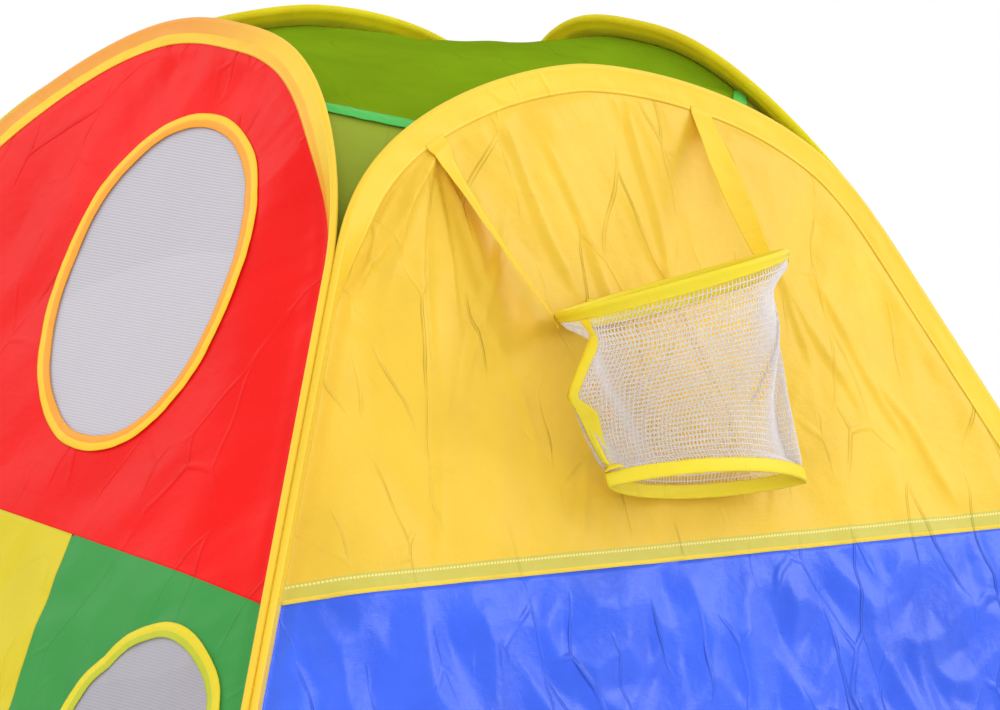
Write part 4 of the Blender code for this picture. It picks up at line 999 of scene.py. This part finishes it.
for corner, pair in cornerPairs.items():
    v = np.linspace(0.03, 0.97, n(70))[:, None]
    half = roof["tapeHalf"]
    a, b = cornerEdges(pair, np.array([0.93, 1.0]))
    low, seam = (a[i] + (b[i] - a[i]) * v for i in (0, 1))
    inward = roofMiddle - seam[len(seam) // 2]
    inward[2] = 0
    reachBack = 1 - half / np.linalg.norm(seam - roofMiddle, axis=1)[:, None]
    top = roofMiddle + (seam - roofMiddle) * np.concatenate([reachBack, reachBack, reachBack ** 3], 1)
    down = seam + unit(low - seam) * half
    w = np.linspace(-1, 1, n(16))[:, None, None]
    points = seam + np.where(w < 0, (down - seam) * -w, (top - seam) * w)
    gussetUp = unit(np.cross(b[1] - a[1], (low - seam)[len(seam) // 2]))
    gussetUp = gussetUp * (-np.sign(gussetUp @ inward) or 1)
    v, w = v.T, w[..., 0]
    wave = 0.0005 * noise(v * 16, w * 1.5, 5) + 0.0004 * noise(v * 5, 0, 6)
    points = points + unit(gussetUp + up) * (roof["tapeLift"] + wave)[..., None]
    uv = np.stack(np.broadcast_arrays(v * 0.1, (w + 1) * half), -1)
    piece = gridMesh("roof_tape_" + corner + "_strip", points, uv)
    dress(piece, cloth["roofTape"], "roof_tape_" + corner)

# floor sheet: a grid whose corners are drawn in to the floor's round corners
radius = tent["floorRadius"]
halves = (tent["baseWidth"] / 2, tent["baseDepth"] / 2)
x, y = (half * share for half, share in
        zip(halves, np.meshgrid(np.linspace(-1, 1, n(110)), np.linspace(-1, 1, n(95)), indexing="ij")))
overX, overY = (np.abs(c) - (half - radius) for c, half in zip((x, y), halves))
atCorner = (overX > 0) & (overY > 0)
ratio = np.maximum(overX, overY) / np.maximum(np.hypot(np.maximum(overX, 0), np.maximum(overY, 0)), 1e-9)
x, y = (np.where(atCorner, np.sign(c) * (half - radius + over * ratio), c)
        for c, half, over in zip((x, y), halves, (overX, overY)))
spots = crumpleSpots(113, (-0.65, 0.65, -0.55, 0.55), 260, 0.2, 1.2, 0.45, 0.004)
wave = np.maximum(crumple(x, y, spots, 0.09, 0.0005) - 0.0030, 0)
edgeHold = smoothStep((halves[0] - np.abs(x)) / 0.06) * smoothStep((halves[1] - np.abs(y)) / 0.06)
piece = gridMesh("floor_cloth", np.stack([x, y, 0.0004 + wave * edgeHold], -1), np.stack([x, y], -1),
                 thickness=0.0006)
dress(piece, cloth["blue"], "floor_sheet")
print("roof and floor made")

# hoop net
hoop = {"radius": 0.0895, "offset": -0.045, "up": 0.619, "tilt": math.radians(20),
        "roll": math.radians(10.5), "stand": 0.0058, "sleeveWidth": 0.0108, "sleeveBack": 0.0250, 
        "sleevePinched": 0.0068, "pinch": math.radians(-42), "sleeveBead": 0.0027, "sleeveSlot": 0.0008,
        "tuck": 0.0003}
hem = {"offset": -0.001, "up": 0.462, "halfLong": 0.1025, "halfDeep": 0.030, "height": 0.011,
       "stand": 0.03315, "turn": math.radians(3), "tilt": math.radians(5), "face": 0.0012, "swell": 0.0006}
rimRight = np.array([math.cos(hoop["roll"]), 0.0, math.sin(hoop["roll"])])
rimBack = np.array([0.0, math.cos(hoop["tilt"]), -math.sin(hoop["tilt"])])
rimBack = unit(rimBack - (rimBack @ rimRight) * rimRight)
rimUp = np.cross(rimRight, rimBack)
hoopCentre = place(front, hoop["offset"], hoop["up"], hoop["stand"]) - hoop["radius"] * rimBack
hemCentre = place(front, hem["offset"], hem["up"], hem["stand"])
wallRight, wallDown, wallIn = (direction(front, *axis) for axis in ((1, 0, 0), (0, -1, 0), (0, 0, -1)))
hemRight = math.cos(hem["turn"]) * wallRight + math.sin(hem["turn"]) * wallDown
hemDown = math.cos(hem["turn"]) * wallDown - math.sin(hem["turn"]) * wallRight
hemIn = math.cos(hem["tilt"]) * wallIn + math.sin(hem["tilt"]) * hemDown
hemUp = np.cross(hemRight, hemIn)


def rimAt(angle):
    out = np.cos(angle)[..., None] * rimRight + np.sin(angle)[..., None] * rimBack
    return hoopCentre + hoop["radius"] * out, out


def sleeveWidth(angle):
    # narrow where the straps pull it together at both sides, widest where it is sewn to the wall
    turnIn = np.sin(angle - hoop["pinch"])
    widest = np.where(turnIn < 0, hoop["sleeveWidth"], hoop["sleeveBack"])
    return hoop["sleevePinched"] + np.abs(turnIn) ** 0.8 * (widest - hoop["sleevePinched"])


def hemAt(angle):
    # a flat loop, a little pinched at both ends
    c, s = np.cos(angle)[..., None], np.sin(angle)[..., None]
    point = hemCentre + hem["halfLong"] * c * hemRight + hem["halfDeep"] * s * np.abs(s) ** 0.55 * hemIn
    return point, unit(c / hem["halfLong"] * hemRight + s / hem["halfDeep"] * hemIn)


# the bag's own shape. fold: a ply doubled back on itself near the right, running down and to the left;
# corner: the let-out at the left seam; waist: the narrowing below the rim; waves and crease: soft folds
bag = {"fold": math.radians(322), "foldRun": 0.85, "foldWidth": 0.05, "foldDeep": 0.105, "foldLift": 0.0016,
       "corner": 0.030, "cornerFrom": 0.10, "cornerAt": 0.43, "waist": 0.010, "waistAt": 0.16,
       "waistHigh": 0.09, "waves": ((0.0026, 5, 1.0, 0), (0.0020, 9, 2.2, 2)),
       "crease": math.radians(292), "creaseRun": 1.5, "creaseWidth": 0.09, "creaseHeight": 0.0035}


def bagAt(angle, q):
    # the bag: two panels joined down both sides, so its section pinches from the round rim to a lens
    # whose ends are the side seams. It follows a cubic down from the sleeve's edge to the hem's, and past
    # both ends (q under 0, over 1) it goes on into sleeve and hem
    panel = np.mod(angle, math.pi)
    level = np.arccos(1 - 2 * panel / math.pi) - panel
    angle = angle + 0.5 * level * smoothStep(q / 0.2)
    foldAt = (angle - bag["fold"] + bag["foldRun"] * q) / bag["foldWidth"]
    doubled = smoothStep((q - 0.02) / 0.08) * smoothStep((0.78 - q) / 0.15)
    angle = angle - bag["foldDeep"] * doubled * foldAt * np.exp(-0.5 * foldAt ** 2)
    top, rimOut = rimAt(angle)
    low, _ = hemAt(angle)
    behind = np.maximum(np.sin(angle), 0)[..., None]
    start = top - rimUp * (sleeveWidth(angle) - hoop["sleeveBead"] + hoop["tuck"])[..., None]
    end = low + hemUp * (hem["height"] + hoop["tuck"])
    pull = np.linalg.norm(end - start, axis=-1, keepdims=True)
    inside = np.clip(q, 0, 1)
    free = 16 * inside ** 2 * (1 - inside) ** 2
    waves = sum(high * np.sin(count * angle + phase + turn * inside)
                for high, count, phase, turn in bag["waves"])
    ply = doubled * bag["foldLift"] * foldAt * np.exp(-0.5 * (foldAt * bag["foldWidth"] / 0.06) ** 2)
    crease = (angle - bag["crease"] + bag["creaseRun"] * (1 - inside)) / bag["creaseWidth"]
    out = free * (waves + bag["creaseHeight"] * np.exp(-crease ** 2)) + ply
    q, inside = q[..., None], inside[..., None]
    flat = smoothStep(inside / 0.13) * smoothStep((1 - inside) / 0.05)
    depth = np.sin(angle)[..., None]
    pinched = depth * (np.abs(depth) ** ((1.1 + 0.5 * (depth > 0)) * flat) * (1 - 0.10 * flat) - 1)
    h00, h10 = 2 * inside ** 3 - 3 * inside ** 2 + 1, inside ** 3 - 2 * inside ** 2 + inside
    h11 = inside ** 3 - inside ** 2
    leave = -rimUp * (1 - behind) + wallDown * behind
    arrive = -hemUp * (1 - behind) + wallDown * behind
    p = h00 * start + h10 * pull * leave + (1 - h00) * end + h11 * pull * arrive
    p = p - rimUp * pull * (q - inside) * (q < 0) - hemUp * pull * (q - inside) * (q > 1)
    reach = hoop["radius"] + (hem["halfDeep"] - hoop["radius"]) * inside
    p = p + pinched * reach * unit(rimBack + (hemIn - rimBack) * inside)
    leftSide, rightSide = (np.clip(sign * np.cos(angle), 0, 1)[..., None] ** 3 for sign in (-1, 1))
    rise = np.clip((inside - bag["cornerFrom"]) / (bag["cornerAt"] - bag["cornerFrom"]), 0, 1)
    corner = bag["corner"] * np.where(inside < bag["cornerAt"], rise, (1 - inside) / (1 - bag["cornerAt"]))
    waist = bag["waist"] * np.exp(-((inside - bag["waistAt"]) / bag["waistHigh"]) ** 2)
    ends = smoothStep(inside * 12) * smoothStep((1 - inside) * 12)
    p = p - rimRight * ends * (leftSide * (corner - 0.4 * waist) + rightSide * waist)
    return p + rimOut * out[..., None]


def ringTube(name, points, out, down, profile, seed, stretch=1):
    # a folded tape carried round a closed line: t along down, h along out; stretch lengthens its plies
    length = walked(closedLine(points))
    at = length[:-1, None]
    h = profile[:, 1]
    t = profile[:, 0] * np.where(profile[:, 0] > 0.002, stretch, 1)
    wave = 0.0004 * noise(at / 0.011, t / 0.012, seed)
    drop = 0.0005 * noise(at / 0.02, 0, seed + 1) * (t > 0.004)
    p = points[:, None] + down * (t + drop)[..., None] + out[:, None] * (h + wave * np.sign(h))[..., None]
    run = walked(profile)
    uv = np.stack(np.broadcast_arrays(at, np.minimum(run, run[-1] - run)), -1).transpose(1, 0, 2)
    piece = gridMesh(name, p.transpose(1, 0, 2), seamUv(uv, (length[-1], 0)), wrap=True, thickness=0.0005)
    return piece, length[-1]


# the rim's sleeve
angle = np.arange(n(300)) * 2 * math.pi / n(300)
ply = hoop["sleeveWidth"] - hoop["sleeveBead"]
profile = foldedTape(ply, hoop["sleeveBead"] - 0.00025, hoop["sleeveSlot"], 8)
stretch = ((sleeveWidth(angle) - hoop["sleeveBead"]) / ply)[:, None]
piece, length = ringTube("rim_sleeve_tape", *rimAt(angle), -rimUp, profile, 121, stretch)
dress(piece, cloth["bright"], "rim_sleeve", body="hoop")

# the net's hem
q = np.linspace(0, 1, 8)
x = hem["height"] * (1 - q) + 0.0006 * q
h = hem["face"] + hem["swell"] * np.sin(math.pi * q)
profile = np.stack([np.concatenate([x, [0.0001, 0.0001], x[::-1]]),
                    np.concatenate([h, [0.0006, -0.0006], -h[::-1]])], 1)
piece, length = ringTube("net_hem_tape", *hemAt(angle), hemUp, profile, 131)
dress(piece, cloth["bright"], "net_hem", body="net")

# the tab behind the rim, which curves down to the wall at its edges
tab = {"half": 0.007, "low": -0.008, "high": 0.004, "base": 0.0012, "crown": 0.0013}
u, s = np.meshgrid(np.linspace(-tab["half"], tab["half"], 12), np.linspace(tab["low"], tab["high"], 10),
                   indexing="ij")
upDown = np.abs(2 * s - tab["low"] - tab["high"]) / (tab["high"] - tab["low"])
toEdge = np.maximum(np.abs(u) / tab["half"], upDown)
height = tab["base"] + tab["crown"] * (1 - smoothStep(toEdge * 3 - 2))
points = place(front, hoop["offset"] + u, hoop["up"] + s, height)
piece = gridMesh("hoop_back_tab_tape", points, np.stack([u, s], -1))
dress(piece, cloth["strap"], "hoop_back_tab")


def strandMesh(name, strands, radius):
    # a square cord section carried along many strands: their centres, sides, faces and whether they close
    verts, faces, offset = [], [], 0
    k = np.arange(4)
    for centre, side, face, closed in strands:
        count, steps = centre.shape[:2]
        verts.append(np.stack([centre + radius * side, centre + radius * face, centre - radius * side,
                               centre - radius * face], 2).reshape(-1, 3))
        base = offset + (np.arange(count) * steps * 4)[:, None, None]
        i = np.arange(steps if closed else steps - 1)[None, :, None]
        here, there, m = base + i * 4, base + (i + 1) % steps * 4, (k + 1) % 4
        faces.append(np.stack([here + k, there + k, there + m, here + m], -1).reshape(-1, 4))
        if not closed:
            faces += [base[:, 0] + (1, 2, 3, 0), base[:, 0] + (steps - 1) * 4 + (0, 3, 2, 1)]
        offset += count * steps * 4
    verts, index = np.concatenate(verts), np.concatenate(faces).reshape(-1)
    return meshPiece(name, verts, index, np.arange(0, len(index), 4), verts[index][:, :2])


# the net: cords down the bag and cords round it
net = {"around": 160, "down": 38, "cord": 0.00044, "from": -0.035, "to": 1.04, "bare": 2}
a, q = np.meshgrid(np.arange(net["around"]) * 2 * math.pi / net["around"],
                   np.linspace(net["from"], net["to"], net["down"]), indexing="ij")
points = bagAt(a, q)
tangentDown = unit(np.gradient(points, axis=1))
tangentAround = closedTangent(points)
facing = unit(np.cross(tangentAround, tangentDown))
rounds = (x[:, net["bare"]:-net["bare"]].transpose(1, 0, 2) for x in (points, tangentDown, facing))
strands = [(points, tangentAround, facing, False), (*rounds, True)]
netPiece = strandMesh("net_bag_cords", strands, net["cord"])

# side tape of the net, which widens and turns in below the let-out corner
sideTape = {"half": 3.5, "halfBelowRim": 4.0, "halfLow": 5.5, "turn": 4.0, "lift": 0.0022, "waver": 0.0005}
a, q = np.meshgrid(np.linspace(-1, 1, n(14)), np.linspace(0.0, 1.0, n(90)), indexing="ij")
lower = smoothStep((q - 0.4) / 0.2)
half = sideTape["half"] + sideTape["halfBelowRim"] * smoothStep(q / 0.13) + sideTape["halfLow"] * lower
a = math.pi + a * np.radians(half) + np.radians(sideTape["turn"]) * lower
tape = bagAt(a, q)
facing = unit(np.cross(np.gradient(tape, axis=0), np.gradient(tape, axis=1)))
facing = facing * np.where((facing @ -rimRight).mean() > 0, 1, -1)
tape = tape + facing * (sideTape["lift"] + sideTape["waver"] * noise(q * 14, a * 3, 4))[..., None]
tape = tape - (rimRight * 0.0020 + rimBack * 0.0030) * smoothStep((q - 0.40) / 0.15)[..., None]
uv = np.stack([q * 0.15, (a - math.pi) * 0.09 + 0.011], -1)
tapePiece = gridMesh("net_side_tape_strip", tape, uv)
bake(tapePiece)
# the bag's flat size: two panels that taper from 290 mm at the rim to 205 mm at the hem, 150 mm long
for piece, look, node, slot, flat, area in (
        (netPiece, "cord", "net_bag", "net_cord", (0.56, 0.165), 0.0743),
        (tapePiece, "bright", "net_side_tape", "bright_yellow_tape", (0.012, 0.16), None)):
    dress(piece, cloth[look], node, body=None)
    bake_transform(piece)

# straps: where each is sewn on the arch and the rim, and how far its turn has come at shares of its way
pathShares = (0.0, 0.10, 0.22, 0.35, 0.48, 0.61, 0.74, 0.87, 1.0)
straps = {
    "left_strap": {"offset": -0.168, "angle": math.radians(139), "sense": -1, "seed": 141,
                   "turns": (0.0, 0.40, 0.60, 0.70, 0.78, 0.85, 0.91, 0.96, 1.0), "sag": 0.003,
                   "curl": 0.0008},
    "right_strap": {"offset": 0.118, "angle": math.radians(-3), "sense": 1, "seed": 151, "turns": pathShares,
                    "sag": 0.002, "curl": 0.0018},
}
strapShape = {"half": 0.011, "waist": 0.06, "ends": 8, "lap": 0.0035, "lapUp": 0.0008, "edge": 0.0010,
              "edgeUp": 0.0012, "offBead": 0.0006, "offSleeve": 0.0022, "endDown": 0.010, "clear": 0.0014,
              "wave": 0.0012}


def strapPiece(name, strap):
    # a flat tape from under the casing's stitched edge to the outside of the rim's sleeve, which turns on
    # its way and clears the wall
    shape, ends, wallOut = strapShape, strapShape["ends"], direction(front, 0, 0, 1)
    side = (math.copysign(1, strap["offset"]), 1)
    tries = np.linspace(0.2, 0.98, 600)
    share = np.interp(-abs(strap["offset"]), -np.abs(archPoint(front, tries, tent["reach"])[0][:, 0]), tries)
    under, tangent = archPoint(front, share, tent["reach"] - shape["lap"])
    lap = place(front, *(under * side), shape["lapUp"])
    edge = place(front, *(archPoint(front, share, tent["reach"] + shape["edge"])[0] * side), shape["edgeUp"])
    topWidth = direction(front, *(tangent * side), 0)
    rim, out = (x[0] for x in rimAt(np.array([strap["angle"]])))
    rimWidth = strap["sense"] * np.cross(rimUp, out)
    beadSide = rim + (hoop["sleeveBead"] + shape["offBead"]) * out
    low = rim + shape["offSleeve"] * out - rimUp * shape["endDown"]
    q = np.linspace(0, 1, n(110))
    run = edge + (beadSide - edge) * q[:, None] - up * (strap["sag"] * 4 * q * (1 - q))[:, None]
    path = np.concatenate([lap + (edge - lap) * np.linspace(0, 0.9, ends)[:, None], run,
                           beadSide + (low - beadSide) * np.linspace(0.1, 1, ends)[:, None]])
    turned = np.interp(q, pathShares, strap["turns"])
    turned[1:-1] = (turned[:-2] + turned[1:-1] + turned[2:]) / 3
    turn = np.concatenate([np.zeros(ends), turned, np.ones(ends)])[:, None]
    width = unit((1 - turn) * topWidth + turn * rimWidth)
    facing = unit(np.cross(width, np.gradient(path, axis=0)))
    facing = facing * np.sign(facing[:1] @ wallOut)[:, None]
    length = walked(path)[:, None]
    lift = np.zeros(len(path))
    for shift in (-0.009, 0.0, 0.009):
        near = (path + shift * width - front["matrix"][:3, 3]) @ front["matrix"][:3, :3]
        lift = np.maximum(lift, wallRelief(front, near[:, 0], near[:, 1]) + shape["clear"] - near[:, 2])
    lift = lift * (1 - smoothStep((np.arange(len(path)) / len(path) - 0.5) / 0.2))
    path = path + wallOut * lift[:, None]
    w = np.linspace(-1, 1, n(16))
    free = np.concatenate([np.zeros(ends), np.sin(math.pi * q) ** 0.7, np.zeros(ends)])[:, None]
    curl = strap["curl"] * free * (w ** 2 - 0.4)
    wave = shape["wave"] * free * noise(length / 0.03, w * 0.8, strap["seed"])
    half = shape["half"] * (1 - shape["waist"] * free)
    points = path[:, None] + width[:, None] * (half * w)[..., None]
    points = points + facing[:, None] * (curl + wave)[..., None]
    uv = np.stack(np.broadcast_arrays(length, (w + 1) * shape["half"]), -1)
    piece = gridMesh(name + "_tape", points, uv)
    bake(piece)
    dress(piece, cloth["strap"], name, body=None)
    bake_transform(piece)


for name, strap in straps.items():
    strapPiece(name, strap)
print("hoop net made")

# the steel pieces keep their CAD shapes
for name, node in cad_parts.items():
    if name.endswith(("hoop_wire", "hoop_ferrule", "rim_wire")):
        node.data.materials.clear()
        node.data.materials.append(springSteel)

# stage, light and camera
stage = {"floorSize": 30.0, "world": 0.95, "fadeFrom": 0.85, "fadeTo": 1.35}
softboxes = {"key_softbox": ((2.9, -1.7, 2.5), (0, -0.2, 0.45), 2.2, 50.0),
             "fill_softbox": ((-2.4, -2.6, 2.6), (-0.2, -0.2, 0.4), 2.6, 32.0),
             "back_softbox": ((-1.5, 3.0, 2.6), (0, 0, 0.5), 1.8, 24.0)}
# the camera that was fitted to the photo
view = {"at": (-2.8511, -3.2101, 1.2090), "ahead": (0.66641, 0.72583, -0.17050),
        "right": (0.74406, -0.66204, 0.08985), "lens": 192.8, "sensor": 36.0, "far": 50}


def floorPaint():
    # pale matt paint, which the camera sees fade out to the white background further from the tent
    material, tree, shader = newMaterial("studio_floor_paint")
    shader["Base Color"].default_value = (0.86, 0.86, 0.86, 1)
    shader["Roughness"].default_value = 0.8
    where = addNode(tree, "TexCoord").outputs["Object"]
    away = addNode(tree, "VectorMath", {0: where}, operation="LENGTH").outputs["Value"]
    fade = remap(tree, away, stage["fadeFrom"], stage["fadeTo"], curve="SMOOTHSTEP")
    seen = math2(tree, "MULTIPLY", fade, addNode(tree, "LightPath").outputs["Is Camera Ray"])
    glow = addNode(tree, "Emission", {"Color": (1, 1, 1, 1), "Strength": 1.0})
    mix = addNode(tree, "MixShader", {0: seen, 1: tree.nodes["Principled BSDF"].outputs[0],
                                      2: glow.outputs[0]})
    tree.links.new(mix.outputs[0], tree.nodes["Material Output"].inputs["Surface"])
    return material


bpy.ops.mesh.primitive_plane_add(size=stage["floorSize"], location=(0, 0, -0.0006))
floor = bpy.context.object
floor.name = "studio_floor"
floor.data.materials.append(floorPaint())

world = bpy.data.worlds.new("studio")
bpy.context.scene.world = world
world.use_nodes = True
tree = world.node_tree
tree.nodes.clear()
plain, white = (addNode(tree, "Background", {"Color": (1, 1, 1, 1), "Strength": power}).outputs[0]
                for power in (stage["world"], 1.0))
seen = addNode(tree, "LightPath").outputs["Is Camera Ray"]
mix = addNode(tree, "MixShader", {0: seen, 1: plain, 2: white})
addNode(tree, "OutputWorld", {"Surface": mix.outputs[0]})


def aimed(thing, where, right, upward, toViewer):
    # an object of the scene placed with its own axes given in the tent's frame
    bpy.context.scene.collection.objects.link(thing)
    axes = Matrix(np.column_stack([right, upward, toViewer]).tolist()).to_4x4()
    thing.matrix_world = Matrix.Translation(where) @ axes
    return thing


for name, (where, aim, size, power) in softboxes.items():
    lamp = bpy.data.lights.new(name, "AREA")
    lamp.size = size
    lamp.energy = power
    z = unit(np.array(where, float) - np.array(aim, float))
    x = unit(np.cross(up, z))
    aimed(bpy.data.objects.new(name, lamp), where, x, np.cross(z, x), z)

camera = bpy.data.cameras.new("camera")
camera.sensor_width = view["sensor"]
camera.lens = view["lens"]
camera.clip_end = view["far"]
ahead = unit(np.array(view["ahead"]))
toRight = np.array(view["right"])
toRight = unit(toRight - (toRight @ ahead) * ahead)
bpy.context.scene.camera = aimed(bpy.data.objects.new("camera", camera), view["at"], toRight,
                                 np.cross(toRight, ahead), -ahead)
bpy.context.scene.view_settings.view_transform = "Standard"
print("stage set")
